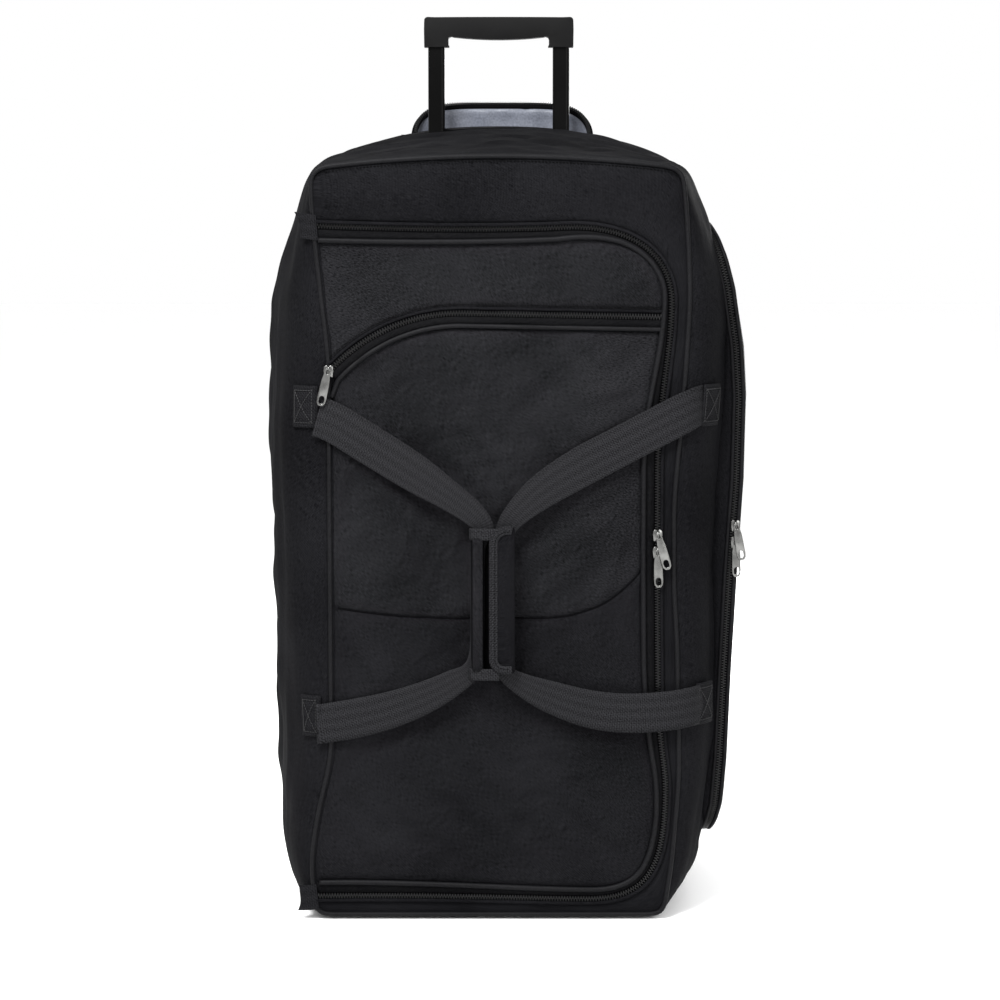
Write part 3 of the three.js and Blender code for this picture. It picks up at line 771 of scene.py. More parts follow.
def make_back():
    """Back cloth: a ruled sheet from the bottom edge to the domed top, over the trolley tubes."""
    def y_of(x, z):
        tube = math.exp(-((abs(x) - TUBE_X) / 15) ** 2) * 2.2
        return BACK_Y + tube * min(1, max(0, (z - 20) / 60)) + wobble((x, 0, z), (130, 1, 200), 1.9) * 1.2

    grid = []
    for v in np.linspace(0, 1, 90):
        row = []
        for x in np.linspace(-BACK_HALF + 2, BACK_HALF - 2, 90):
            edge = 14 * (abs(x) / BACK_HALF) ** 24
            low = BOTTOM + 4 + edge
            high = back_crown(x) - 1 - edge
            z = lerp(low, high, v)
            row.append((x, y_of(x, z), z))
        grid.append(row)
    back = cloth("back_cloth", grid, "back", "bag_body", "base_fabric", 2.0, inward=BAG_MIDDLE,
                 replaces=("back_panel",))
    cut_wheel_bays(back)


# ---- front: zips, band and lid ----
ZIP_POINTS = 420


def main_zip_line():
    """Centre of the main zip as (x, z): along the top, down the right, back along the bottom."""
    start = (float(seam_left(737.0)) + 2, 735)
    end = (float(seam_left(24.0)) + 2, 25)
    line = [
        bezier(start, (-120, 732), (-30, 730), (60, 733)),
        bezier((60, 733), (135, 739), (181, 708), (181, 655)),
        bezier((181, 655), (181, 600), (168, 560), (167, 480)),
        bezier((167, 480), (167, 400), (167, 320), (169, 230)),
        bezier((169, 230), (171, 180), (178, 165), (177, 130)),
        bezier((177, 130), (175, 55), (158, 23), (98, 22)),
        bezier((98, 22), (20, 22), (-60, 27), end),
    ]
    return resample(np.vstack(line), ZIP_POINTS)


MAIN_ZIP = main_zip_line()
# Distance from the main zip to the lid's edge by length along the zip.
INSET_AT = ((0, 250, 320, 400, 470, 560, 800, 900, 960, 1075, 1150, 1350),
            (15, 12, 7.5, 7, 10, 15, 15, 11, 9, 10, 11, 15))
LID_INSET = np.interp(np.linspace(0, path_length(MAIN_ZIP), len(MAIN_ZIP)), *INSET_AT)


def in_front(flat, y):
    """A flat (x, z) path as 3-D points at a depth."""
    return np.insert(np.asarray(flat, float), 1, y, axis=1)


def polar_radius(points, angles, centre):
    """Distance of a closed loop from a centre, at some angles."""
    offset = points - centre
    angle = np.mod(np.unwrap(np.arctan2(offset[:, 1], offset[:, 0])), 2 * math.pi)
    radius = np.linalg.norm(offset, axis=1)
    order = np.argsort(angle)
    return np.interp(angles, angle[order], radius[order], period=2 * math.pi)


def make_front_band():
    """The fabric between the front seam and the main zip."""
    inner = sideways(MAIN_ZIP, 3.6)
    z = np.linspace(inner[-1, 1], inner[0, 1], 160)[1:-1]
    left = np.stack([seam_left(z) + 4.5, z], axis=1)
    count = 900
    inner = resample(np.vstack([inner, left]), count, closed=True)
    outer = resample(FRONT_LOOP, count, closed=True)
    centre = np.array([0.0, 400.0])
    angles = np.mod(np.unwrap(np.arctan2(outer[:, 1] - 400, outer[:, 0])), 2 * math.pi)
    inside = polar_radius(inner, angles, centre)
    outside = polar_radius(outer, angles, centre)
    spoke = np.stack([np.cos(angles), np.sin(angles)], axis=1)
    rows = []
    for v in np.linspace(0, 1, 13):
        flat = centre + spoke * lerp(inside, outside, v)[:, None]
        puff = math.sin(math.pi * v) ** 0.7
        row = []
        for (x, z), i, o in zip(flat, inside, outside):
            slack = folds(x, z, 4.2, 0.25, 20, 90) * 5.5 + folds(x, z, 8.2, -0.5, 16, 70) * 4.5
            slack += wobble((x, 0, z), (90, 1, 60), 2.2) * 2.0
            row.append((x, FRONT_Y + 1.0 - puff * (1.2 + (3.4 + slack) * min(1, (o - i) / 50)), z))
        rows.append(row)
    cloth("front_band", rows, "shell", "bag_body", "shell_fabric", 1.8, True, inward=BEHIND_FRONT,
          replaces=("front_frame",))
    top = FRONT_LOOP[FRONT_LOOP[:, 1] > FRONT_TOP - 8]
    top = top[np.argsort(top[:, 0])]
    stitches("band_top_stitches", in_front(top - (0, 5.0), FRONT_Y - 1.9), OUT, "bag_body")


def folds(x, z, seed, angle, spacing, length):
    """Long soft folds that run at an angle, strong in some places and absent in others."""
    c, s = math.cos(angle), math.sin(angle)
    along, over = x * c + z * s, z * c - x * s
    ridge = noise.noise(Vector((along / length, over / spacing, seed)))
    place = noise.noise(Vector((x / 120, z / 140, seed + 9.0)))
    return ridge * min(1.0, max(0.0, 0.35 + 1.6 * place))


def lid_depth(x, z):
    """Depth of the lid's outer face: a slack, slightly filled panel."""
    across = (x - seam_left(z)) / (160 - seam_left(z))
    u = min(max(across, 0.0), 1.0)
    v = min(max((z - 34) / 690, 0.0), 1.0)
    fill = 4.2 * (math.sin(math.pi * u) * math.sin(math.pi * v)) ** 0.5
    slack = wobble((x, 0, z), (120, 1, 90), 6.4) * 4.0
    slack += folds(x, z, 2.8, 0.5, 24, 100) * 11.0 + folds(x, z, 5.1, -0.75, 20, 90) * 9.5
    slack += folds(x, z, 7.7, 1.3, 14, 70) * 4.5
    slack += folds(x, z, 1.3, 0.15, 11, 55) * 3.0
    reach = 6.0 if slack > 0 else 9.5
    slack = reach * math.tanh(slack / reach)
    near_zip = abs(z - pocket_z(x) + 3) / 45
    slack *= min(1.0, 0.1 + near_zip)
    fill *= min(1.0, 0.5 + near_zip)
    rim = min(1.0, 12 * u, 12 * (1 - u), 16 * v, 16 * (1 - v))
    return FRONT_Y - 1.2 - (fill + slack) * rim


LID_EDGE = sideways(MAIN_ZIP, -LID_INSET)
LID_GAP = 1.2
HALFWAY = ZIP_POINTS // 2
LID_TOP_CORNER = int(np.argmax(LID_EDGE[:HALFWAY].sum(axis=1)))
LID_LOW_CORNER = HALFWAY + int(np.argmax(LID_EDGE[HALFWAY:, 0] - LID_EDGE[HALFWAY:, 1]))


def lid_side(low, high, count=60):
    """The lid's right edge between two heights, from the bottom up."""
    side = LID_EDGE[LID_TOP_CORNER:LID_LOW_CORNER + 1][::-1]
    z = np.linspace(low, high, count)
    return np.stack([np.interp(z, side[:, 1], side[:, 0]), z], axis=1)


def seam_side(low, high):
    """The lid's left edge between two heights, from the bottom up."""
    z = np.linspace(low, high, 60)
    return np.stack([seam_left(z) + LID_GAP, z], axis=1)


def coons(low, high, left, right, rows, columns):
    """Flat grid that fills four edge curves; low and high run left to right, the others upward."""
    low, high = resample(low, columns), resample(high, columns)
    left, right = resample(left, rows), resample(right, rows)
    u = np.linspace(0, 1, columns)[None, :, None]
    v = np.linspace(0, 1, rows)[:, None, None]
    across = (1 - u) * left[:, None] + u * right[:, None]
    upward = (1 - v) * low[None] + v * high[None]
    corners = ((1 - u) * (1 - v) * low[0] + u * (1 - v) * low[-1] + (1 - u) * v * high[0] + u * v * high[-1])
    return across + upward - corners


POCKET_ARC = {"x": -40.0, "z": 459.0, "r": 185.0, "start": 2.41}
POCKET_END = 173.0


def pocket_line():
    """Centre of the lid pocket's zip as (x, z)."""
    a = POCKET_ARC
    turn = np.linspace(a["start"], math.pi / 2, 50)
    arc = np.stack([a["x"] + a["r"] * np.cos(turn), a["z"] + a["r"] * np.sin(turn)], axis=1)
    run = np.array([(POCKET_END, a["z"] + a["r"] - 4)])
    return resample(np.vstack([arc, run]), 160)


POCKET_ZIP = pocket_line()


def pocket_z(x):
    """Height of the pocket zip line at x, carried on down to the left seam."""
    return float(np.interp(x, np.r_[-205, POCKET_ZIP[:, 0], 400], np.r_[548, POCKET_ZIP[:, 1], 641]))


def lower_seam_z(x):
    """Height of the curved seam above the lid's lower panel."""
    curve = bezier((-200, 340), (-110, 318), (-50, 325), (30, 323), 40)
    rise = bezier((30, 323), (105, 322), (140, 348), (165, 400), 40)
    line = np.vstack([curve, rise])
    return float(np.interp(x, line[:, 0], line[:, 1]))


def tucked(flat):
    """How far a panel's border turns in at its seams, by distance from the nearest edge."""
    along, up = grid_lengths(flat)
    near = np.minimum(np.minimum(along, along[:, -1:] - along), np.minimum(up, up[-1:] - up))
    return np.exp(-(near / 5.0) ** 2)


def lid_panel(name, low, high, replaces, rows, material):
    """Part of the lid between two curves that run from the left seam to the lid's right edge."""
    left = seam_side(low[0, 1], high[0, 1])
    right = lid_side(low[-1, 1], high[-1, 1])
    flat = coons(low, high, left, right, rows, 110)
    tuck = tucked(flat) * 2.8
    grid = [[(x, lid_depth(x, z) + t, z) for (x, z), t in zip(row, turn)] for row, turn in zip(flat, tuck)]
    cloth(name, grid, material, "lid", "shell_fabric", inward=BEHIND_FRONT, replaces=replaces)


def lid_curve(height, offset=0.0):
    """A height-by-x curve as a path across the lid, ending exactly on its edges."""
    left = right = 0.0
    for _ in range(25):
        left = float(seam_left(height(left) + offset)) + LID_GAP
        right = float(lid_side(height(right) + offset, height(right) + offset, 1)[0, 0])
    return np.array([(x, height(x) + offset) for x in np.linspace(left, right, 90)])


def on_lid(flat, lift=0.0):
    """A flat (x, z) path laid on the lid's outer face, or a little off it."""
    return np.array([(x, lid_depth(x, z) - lift, z) for x, z in flat])


def make_lid_panels():
    """The three panels of the lid, the lowest in a darker cloth as painted shade, and the sunk seam between
    the lower two, marked by a near-black cord as painted shade of its groove.
    """
    top = np.vstack([[(seam_left(720.0) + LID_GAP, LID_EDGE[0, 1])], LID_EDGE[2:LID_TOP_CORNER + 1]])
    bottom = LID_EDGE[LID_LOW_CORNER:-2][::-1]
    bottom = np.vstack([[(seam_left(38.0) + LID_GAP, LID_EDGE[-1, 1])], bottom])
    seam = lid_curve(lower_seam_z)
    lid_panel("lid_upper", lid_curve(pocket_z, 5.0), top, ("lid_upper_panel",), 40, "pocket")
    lid_panel("lid_pocket", seam, lid_curve(pocket_z, -14.0), ("lid_pocket_panel",), 70, "pocket")
    # The lower panel's darker cloth is painted shade, for the light falling off towards the bottom.
    lid_panel("lid_lower", bottom, seam, ("lid_lower_panel",), 80, "lower")
    # A near-black cord at the bottom of the seam's groove: the seam, with its colour standing in as painted
    # shade of the groove.
    swept_piece("lid_lower_seam_painted_shade", on_lid(seam, -2.4), OUT, circle(0.7, 8), "tape", "lid", "piping")


def make_lid_edge():
    """Piping round the lid, the facing between it and the zip, darkened as painted shade of that recess, and
    the binding behind them.
    """
    piping("lid_edge_piping", in_front(LID_EDGE[1:-1], FRONT_Y - 2.6), OUT, 2.9, "lid",
           replaces=("lid_piping",))
    line = in_front(MAIN_ZIP, FRONT_Y)
    profile = [[(4.0, 1.2), (far, 1.2), (far, 0.3), (4.0, 0.3)] for far in LID_INSET]
    swept_piece("lid_facing", line, OUT, profile, "facing", "lid", "shell_fabric")
    profile = [[(3.0, -3.8), (far + 7, -3.8), (far + 7, -4.8), (3.0, -4.8)] for far in LID_INSET]
    swept_piece("lid_inner_binding", line, OUT, profile, "tape", "lid", "zip_tape")


def make_lid_lining():
    """Grey lining behind the lid, with rounded corners at its free edge."""
    low, high, corner = 50.0, 710.0, 46

    def left(z):
        return float(seam_left(z)) + 6

    def right(z):
        into_corner = max(0.0, z - high + corner, low + corner - z) / corner
        drawn_in = corner * (1 - math.sqrt(max(0.0, 1 - into_corner ** 2)))
        return float(lid_side(z, z, 1)[0, 0]) - 3 - drawn_in

    def depth(x, z):
        return FRONT_Y + 8.0 + wobble((x, 0, z), (70, 1, 70), 4.4) * 1.4

    grid = row_panel(left, right, low, high, depth, 70, 50)
    cloth("lid_inner_lining", grid, "lining", "lid", "lining", 0.8, inward=(0, -300, 400),
          replaces=("lid_lining",))


def make_lid():
    """All the parts that swing on the left seam, but for their half of the main zip."""
    make_lid_panels()
    make_lid_edge()
    make_lid_lining()
    make_lid_pocket_zip()
    make_hinge_strip()


def make_lid_pocket_zip():
    """Pocket zip on the lid: tape, two rows of teeth, the lip above and the piping below."""
    line = POCKET_ZIP
    path = on_lid(line, 0.4)
    band("pocket_zip_tape", path, OUT, -6.0, 15.0, -0.2, "tape", "lid", "zip_tape",
         replaces=("lid_pocket_zip",))
    path = on_lid(line, 1.0)
    teeth("pocket_zip_teeth_upper", path, OUT, -1, "lid")
    teeth("pocket_zip_teeth_lower", path, OUT, 1, "lid")
    lower = sideways(line, -13.0)
    start = np.array([(float(seam_left(556.0)) + 3, 556.0)])
    lower = resample(np.vstack([start, lower[lower[:, 0] < POCKET_END - 2]]), 170)
    piping("pocket_zip_piping", on_lid(lower, 1.0), OUT, 2.5, "lid")
    band("pocket_zip_lip", on_lid(line, 1.6), OUT, 3.4, 11.5, 0.3, "facing", "lid", "shell_fabric")
    piping("pocket_zip_fold", on_lid(sideways(line, 5.6), 0.6), OUT, 1.5, "lid", material="shell",
           slot="shell_fabric")
    stitches("pocket_zip_stitches", on_lid(sideways(line, 9.5), 1.2), OUT, "lid")


def make_hinge_strip():
    """Fabric strip along the lid's left seam; it is attached to no body."""
    grid = []
    for z in np.linspace(30, 727, 70):
        edge = float(seam_left(z))
        grid.append([(edge + a, FRONT_Y + 0.8, z) for a in np.linspace(-1, 8, 10)])
    strip = cloth("lid_hinge_strip", grid, "shell", None, "piping", 1.2, inward=BEHIND_FRONT)
    tuple(world((-194, FRONT_Y, 400)))
    tuple(world((-174, FRONT_Y, 400)))
    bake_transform(strip)


def make_main_zip():
    """Main zip: the outer half stays on the bag, the inner half goes with the lid."""
    line = in_front(MAIN_ZIP, FRONT_Y)
    band("main_zip_tape_outer", line, OUT, -8.0, -0.2, -1.4, "tape", "bag_body", "zip_tape",
         replaces=("main_zip",))
    band("main_zip_tape_inner", line, OUT, 0.2, 8.0, -1.4, "tape", "lid", "zip_tape")
    path = in_front(MAIN_ZIP, FRONT_Y + 0.5)
    teeth("main_zip_teeth_outer", path, OUT, -1, "bag_body")
    teeth("main_zip_teeth_inner", path, OUT, 1, "lid")
    fold = in_front(sideways(MAIN_ZIP, 4.4), FRONT_Y - 2.2)
    piping("main_zip_fold", fold, OUT, 1.9, "bag_body", material="shell", slot="shell_fabric")


# ---- sliders and pulls ----
def extruded(outline, holes, y_front, y_back):
    """Closed plate from an (x, z) outline with holes, between two depths."""
    bm = bmesh.new()
    loops = []
    for ring in (outline, *holes):
        points = [bm.verts.new((p[0], y_front, p[1])) for p in ring]
        loops.append([bm.edges.new((points[i], points[(i + 1) % len(points)])) for i in range(len(points))])
    edges = [e for ring in loops for e in ring]
    bmesh.ops.triangle_fill(bm, use_beauty=True, edges=edges)
    out = bmesh.ops.extrude_face_region(bm, geom=list(bm.faces))
    moved = [g for g in out["geom"] if isinstance(g, bmesh.types.BMVert)]
    bmesh.ops.translate(bm, verts=moved, vec=(0, y_back - y_front, 0))
    bm.verts.index_update()
    points = np.array([v.co[:] for v in bm.verts])
    # The extrusion makes its side faces in no fixed order; sorting them makes every run alike.
    faces = sorted(([v.index for v in f.verts] for f in bm.faces), key=sorted)
    bm.free()
    return points, faces


def slot_outline(cx, cz, width, height, steps=10):
    """Rounded slot outline."""
    radius = width / 2
    turn = np.linspace(0, math.pi, steps)
    top = [(cx + radius * math.cos(a), cz + height / 2 - radius + radius * math.sin(a)) for a in turn]
    low = [(cx - radius * math.cos(a), cz - height / 2 + radius - radius * math.sin(a)) for a in turn]
    return top + low


def make_slider(prefix):
    """A die-cast zip slider with the arch that holds its pull."""
    rider = f"{prefix}_runner"
    low, high = design_box(f"{prefix}_slider")
    cx, cz = (low[0] + high[0]) / 2, (low[2] + high[2]) / 2
    front, back = low[1], high[1]
    wings = [(-4.2, -6.5), (-1.6, -5.6), (1.6, -5.6), (4.2, -6.5), (5.2, 1), (4.9, 4.5), (2.6, 6.6),
             (0, 5.2), (-2.6, 6.6), (-4.9, 4.5), (-5.2, 1)]
    points, faces = extruded([(cx + x, cz + z) for x, z in wings], [], back - 2.8, back)
    body = piece(f"{prefix}_slider_body", points, faces, "nickel", rider, "nickel",
                 replaces=(f"{prefix}_slider",))
    finish_edges(body, 0.7)
    arch = np.array([(cx, back - 2.4, cz - 4.4), (cx, front + 0.9, cz - 3.4), (cx, front + 0.5, cz),
                     (cx, front + 0.9, cz + 3.6), (cx, back - 2.4, cz + 4.8)])
    points, faces, _ = swept(spline(arch, 16), (1, 0, 0), circle(1.0, 8, 1.3))
    piece(f"{prefix}_bridge", points, faces, "nickel", rider, "nickel")


def make_pull(prefix, tilt):
    """A zip pull: flat tab, small eye on top, long oval window below."""
    low, high = design_box(f"{prefix}_pull")
    cx, top = (low[0] + high[0]) / 2, high[2]
    half = [(1.8, 0.0), (3.0, -1.2), (3.3, -4.5), (3.5, -8), (4.2, -12), (4.6, -20), (4.9, -32),
            (4.4, -36.8), (2.3, -39.8)]
    outline = half + [(-x, z) for x, z in half[::-1]]
    holes = [slot_outline(0, -3.6, 3.2, 4.8, 7), slot_outline(0, -33.4, 5.4, 8.4)]

    def turned(points):
        c, s = math.cos(tilt), math.sin(tilt)
        return [(cx + x * c - z * s, top + x * s + z * c) for x, z in points]

    points, faces = extruded(turned(outline), [turned(h) for h in holes], low[1], high[1])
    pull = piece(f"{prefix}_pull_tab", points, faces, "nickel", f"{prefix}_tab", "nickel",
                 replaces=(f"{prefix}_pull",))
    finish_edges(pull, 0.45)


def make_sliders():
    """The five sliders; each pull hangs at its own small tilt, in radians."""
    tilts = {"main_upper": 0.27, "main_lower": 0.03, "lid_pocket": -0.22, "side_upper": 0.17,
             "side_lower": 0.03}
    for prefix, tilt in tilts.items():
        make_slider(prefix)
        make_pull(prefix, tilt)


# ---- handles ----
WEB_HALF, GRIPPED_HALF = 21.0, 9.5
WEB_COLUMNS = 15


def web_piece(name, stations, root_x, inner_x, replaces):
    """Webbing loop through stations of (x, y, z, half width, normal x, normal y)."""
    rows = spline(stations, 190)
    path = rows[:, :3]
    ahead = directions(path)
    normal = np.stack([rows[:, 4], rows[:, 5], np.zeros(len(rows))], axis=1)
    across = unit(np.cross(ahead, unit(normal)))
    normal = unit(np.cross(across, ahead))
    grid = []
    for s in np.linspace(-1, 1, WEB_COLUMNS):
        bow = (1 - s * s) * 0.9
        grid.append(path + across * (rows[:, 3] * s)[:, None] + normal * bow)
    grid = np.array(grid).transpose(1, 0, 2)
    inward = -normal[:, None] * np.ones((1, WEB_COLUMNS, 1))
    obj = cloth(name, grid, "web", None, "webbing", 2.0, inward=inward, replaces=replaces)
    across_mm = np.tile(np.linspace(-WEB_HALF, WEB_HALF, WEB_COLUMNS), len(path))
    one = np.stack([np.repeat(distances(path), WEB_COLUMNS), across_mm], axis=1)
    set_uv(obj.data, np.vstack([one, one]))
    tuple(world((root_x, FRONT_Y, 400)))
    tuple(world((inner_x, FRONT_Y, 400)))
    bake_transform(obj)


def shell_point(side, y, z, lift):
    """Point just off the swollen side of the bag."""
    depth = (y - FRONT_Y) / (BACK_Y - FRONT_Y)
    seam = seam_left(z) if side < 0 else seam_right(z)
    swell = curve_value(LEFT_SWELL if side < 0 else RIGHT_SWELL, z)
    x = lerp(seam, side * BACK_HALF, depth) + side * swell * math.sqrt(max(0.0, 1 - (2 * depth - 1) ** 4))
    return np.array([x + side * lift, y - lift * 0.6, z])


def make_patch(place, side, low, near, far):
    """Strap end stitched to the side: a square of webbing with a box-and-cross of thread."""
    depths = np.linspace(near, far, 14)
    heights = np.linspace(low, low + 44, 14)
    grid = np.array([[shell_point(side, y, z, 3.4) for y in depths] for z in heights])
    cloth(f"patch_{place}", grid, "tab_web", "bag_body", "webbing", 2.2, inward=BAG_MIDDLE,
          replaces=(f"strap_patch_{place}",))
    outward = unit(np.array([side * 0.8, -0.6, 0.0]))

    def on_patch(a, b):
        y = lerp(near + 1.5, far - 2.5, a)
        return shell_point(side, y, lerp(low + 5, low + 39, b), 4.3)

    corners = [(0, 0), (1, 0), (1, 1), (0, 1), (0, 0), (1, 1), (1, 0), (0, 1)]
    path = []
    for (a0, b0), (a1, b1) in zip(corners, corners[1:]):
        path += [on_patch(lerp(a0, a1, t), lerp(b0, b1, t)) for t in np.linspace(0, 1, 14)]
    stitches(f"patch_{place}_stitches", np.array(path), outward, "bag_body", 3.2, "thread")


def make_handles():
    """Both webbing loops and the four patches that sew them to the sides."""
    wide, slim = WEB_HALF, GRIPPED_HALF
    left = [
        (-192, -179, 211, wide, 0, -1), (-184, -181, 211.5, wide, 0, -1),
        (-150, -186, 218, wide, 0, -1), (-112, -190, 228, 19.5, 0, -1), (-76, -193, 242, 17, 0, -1),
        (-48, -196, 257, 14, 0.1, -1), (-30, -198, 270, 10, 0.1, -1), (-23, -198, 292, 7.5, 0, -1),
        (-22, -198, 345, 7.5, 0, -1), (-21, -198, 400, 7.5, 0, -1), (-15, -199, 420, 10, 0, -1),
        (-28, -198, 437, 13, 0, -1), (-54, -196, 456, 16, 0, -1), (-88, -191, 478, 20, 0, -1),
        (-130, -186, 504, wide, 0, -1), (-164, -183, 525, wide, 0, -1), (-180, -181.5, 533, wide, 0, -1),
        (-190, -180, 536, wide, 0, -1),
    ]
    right = [
        (217, -163, 548, wide, 0.85, -0.5), (205, -178, 545, wide, 0.6, -0.8),
        (180, -184, 533, wide, 0.1, -1), (130, -187, 507, wide, 0, -1), (84, -191, 483, wide, 0, -1),
        (44, -195, 458, 18, 0, -1), (17, -199, 434, 13, 0, -1), (6, -199, 416, 10, 0, -1),
        (4, -198, 396, slim, 0, -1), (4, -198, 345, slim, 0, -1), (2, -198, 292, slim, 0, -1),
        (6, -199, 270, 8.5, 0, -1), (24, -197, 256, 12, 0, -1), (54, -193, 242, 17, 0, -1),
        (94, -191, 229, 20, 0, -1), (134, -190.5, 224, wide, 0, -1),
        (176, -190, 226, wide, 0.1, -1), (203, -180, 229, wide, 0.6, -0.8),
        (216, -163, 230, wide, 0.85, -0.5),
    ]
    web_piece("left_handle", left, -192, -179, ("left_handle_webbing",))
    web_piece("right_handle", right, 205, 165, ("right_handle_webbing",))
    make_patch("left_upper", -1, 524, -174.2, -159)
    make_patch("left_lower", -1, 196, -174.2, -162)
    make_patch("right_upper", 1, 525, -168.0, -141.0)
    make_patch("right_lower", 1, 208, -168.0, -141.0)


WRAP_X, WRAP_Y = -6.5, -198.5
WRAP_LOW, WRAP_HIGH = 268.0, 420.0


def wrap_point(c, s, half_x, half_y):
    """Point of the wrap's squarish oval, from the cosine and sine of its angle."""
    return (WRAP_X + half_x * abs(c) ** 0.55 * np.sign(c), WRAP_Y + half_y * abs(s) ** 0.7 * np.sign(s))


def make_wrap_pad():
    """The padded tube round both handles, with a groove down its front; its near-black tape cloth is painted
    shade, seen in the gap between strip and flap.
    """
    turn = np.linspace(0, 2 * math.pi, 160, endpoint=False)
    rows = []
    for v in np.linspace(0, 1, 40):
        end = abs(2 * v - 1) ** 10
        ring = []
        for a in turn:
            s = math.sin(a)
            x, y = wrap_point(math.cos(a), s, 22.5 - 2.5 * end, 9.5 - 2.0 * end)
            groove = 15.0 * math.exp(-((x + 11.5) / 4.2) ** 6) if s < 0 else 0.0
            ring.append((x, y + groove, lerp(WRAP_LOW, WRAP_HIGH, v)))
        rows.append(ring)
    # Near-black cloth: painted shade for the dark gap between the strip and the flap.
    wrap = cloth("grip_wrap_pad_painted_shade", rows, "tape", "right_handle", "shell_fabric", 2.2, True,
                 inward=(WRAP_X, WRAP_Y, (WRAP_LOW + WRAP_HIGH) / 2), replaces=("grip_wrap",))


def rounded_outline(corners, steps):
    """Closed (across, up) outline from corners of (across, up, radius, start angle, end angle)."""
    return np.array([(across + radius * math.cos(a), up + radius * math.sin(a))
                     for across, up, radius, start, end in corners
                     for a in np.radians(np.linspace(start, end, steps))])


def make_wrap_flap():
    """The bound flap on the wrap's right, with its row of stitches."""
    corners = ((13.5, 419.5, 3.5, 0, 90), (9.0, 405.0, 18.0, 90, 180), (6.0, 284.0, 15.0, 180, 270),
               (13.5, 272.5, 3.5, 270, 360))
    outline = resample(rounded_outline(corners, 9), 260, closed=True)
    centre = outline.mean(axis=0)
    rows = []
    for v in np.linspace(0.002, 1, 16):
        rows.append(in_front(centre + (outline - centre) * v, -209.0 - 1.6 * (1 - v ** 4)))
    flap = cloth("grip_wrap_flap", rows, "shell", "right_handle", "shell_fabric", 1.6, True,
                 inward=(0, 300, 340))
    bound = outline[outline[:, 0] < 15.5]
    tape = [(-8.2, 0.4), (-7.4, 1.5), (-1.0, 1.9), (0.9, 1.0), (1.2, -1.6), (-1.0, -1.8)]
    swept_piece("grip_flap_binding", in_front(bound, -209.6), OUT, tape, "binding", "right_handle",
                "webbing")
    inner = sideways(bound, 5.0)
    stitches("grip_flap_stitches", in_front(inner[4:-4], -211.8), OUT, "right_handle", 3.4)


def make_wrap_bindings():
    """Bindings round the left part of the wrap's two ends."""
    half = 5.5
    profile = [(-half, 0.9), (half, 0.9), (half + 0.8, 0), (half, -0.9), (-half, -0.9), (-half - 0.8, 0)]
    for name, z in (("top", 415.0), ("bottom", 267.5)):
        ring = np.array([(*wrap_point(math.cos(a), -math.sin(a), 23.6, 10.4), z)
                         for a in np.linspace(0.08, math.pi - 0.08, 40)])
        ring = ring[ring[:, 0] < 2]
        outward = unit((ring - (WRAP_X, WRAP_Y, z)) * (1, 1, 0))
        swept_piece(f"grip_wrap_binding_{name}", ring, outward, profile, "binding", "right_handle",
                    "webbing")


def make_wrap_strip():
    """The smooth crowned strip on the wrap's left."""
    strip = []
    for z in lerp(272, 410, np.linspace(0, 1, 30)):
        strip.append([(x, -208.3 - 1.6 * math.sqrt(max(0, 1 - ((x + 21.8) / 5.6) ** 2)), z)
                      for x in np.linspace(-27.3, -16.4, 12)])
    cloth("grip_wrap_strip", strip, "pocket", "right_handle", "shell_fabric", 1.2, inward=(0, 300, 340))


def make_grip_wrap():
    """All the parts of the padded wrap round the two handles."""
    make_wrap_pad()
    make_wrap_flap()
    make_wrap_bindings()
    make_wrap_strip()


# ---- side pocket ----
POCKET = {"front": -108.0, "back": 124.0, "low": 74.0, "high": 736.0, "corner": 62.0}


def pocket_loop():
    """Rounded outline of the pocket as (y, z), from the lower front corner upward."""
    p = POCKET
    r = p["corner"]
    front, back, low, high = p["front"] + r, p["back"] - r, p["low"] + r, p["high"] - r
    corners = ((front, low, r, 270, 180), (front, high, r, 180, 90), (back, high, r, 90, 0),
               (back, low, r, 0, -90))
    return resample(rounded_outline(corners, 14), 300, closed=True)


POCKET_RIM = ((60, 76, 92, 112, 162, 257, 357, 461, 552, 605, 668, 700, 720, 736, 750),
              (222, 229, 234, 238, 242, 246, 251, 258, 260, 257, 248, 240, 233, 225, 215))


def pocket_face(z):
    """How far out the pocket's rim stands at a height: fuller in the middle."""
    return np.interp(z, *POCKET_RIM)


def make_pocket_gusset(loop, shell):
    """The pocket's wall, from the swollen side of the bag out to its rim."""
    wall = shell[shell[..., 0] > 150]

    def root(y, z):
        return wall[np.argmin((wall[:, 1] - y) ** 2 + (wall[:, 2] - z) ** 2), 0] - 3.0

    grid = []
    for v in np.linspace(0, 1, 10):
        out = 2.5 * math.sin(math.pi * v)
        grid.append([(lerp(root(y, z), float(pocket_face(z)) - 7, v), y + n[0] * out, z + n[1] * out)
                     for (y, z), n in zip(loop, loop_normals(loop))])
    cloth("pocket_gusset", grid, "shell", "bag_body", "shell_fabric", 1.8, True, inward=(240, 8, 409),
          replaces=("side_pocket_gusset",))


def make_pocket_cover(loop):
    """The domed cover of the pocket; its rings shrink almost to a point in the middle."""
    centre = loop.mean(axis=0)
    rows = []
    for v in np.linspace(0.0, 1, 40):
        share = max(math.sin(v * math.pi / 2) ** 0.9, 0.0004)
        dome = 8.5 * (1 - share ** 3.0)
        ring = []
        for y, z in centre + (loop - centre) * share:
            x = float(pocket_face(z)) + 1.6 + dome
            x += wobble((0, y, z), (1, 90, 150), 7.2) * 2.0 * (1 - share ** 6)
            ring.append((x, y, z))
        rows.append(ring)
    cloth("pocket_cover", rows, "pocket", "side_pocket_door", "shell_fabric", 1.6, True,
          inward=(0, 8, 409), replaces=("side_pocket_cover",))


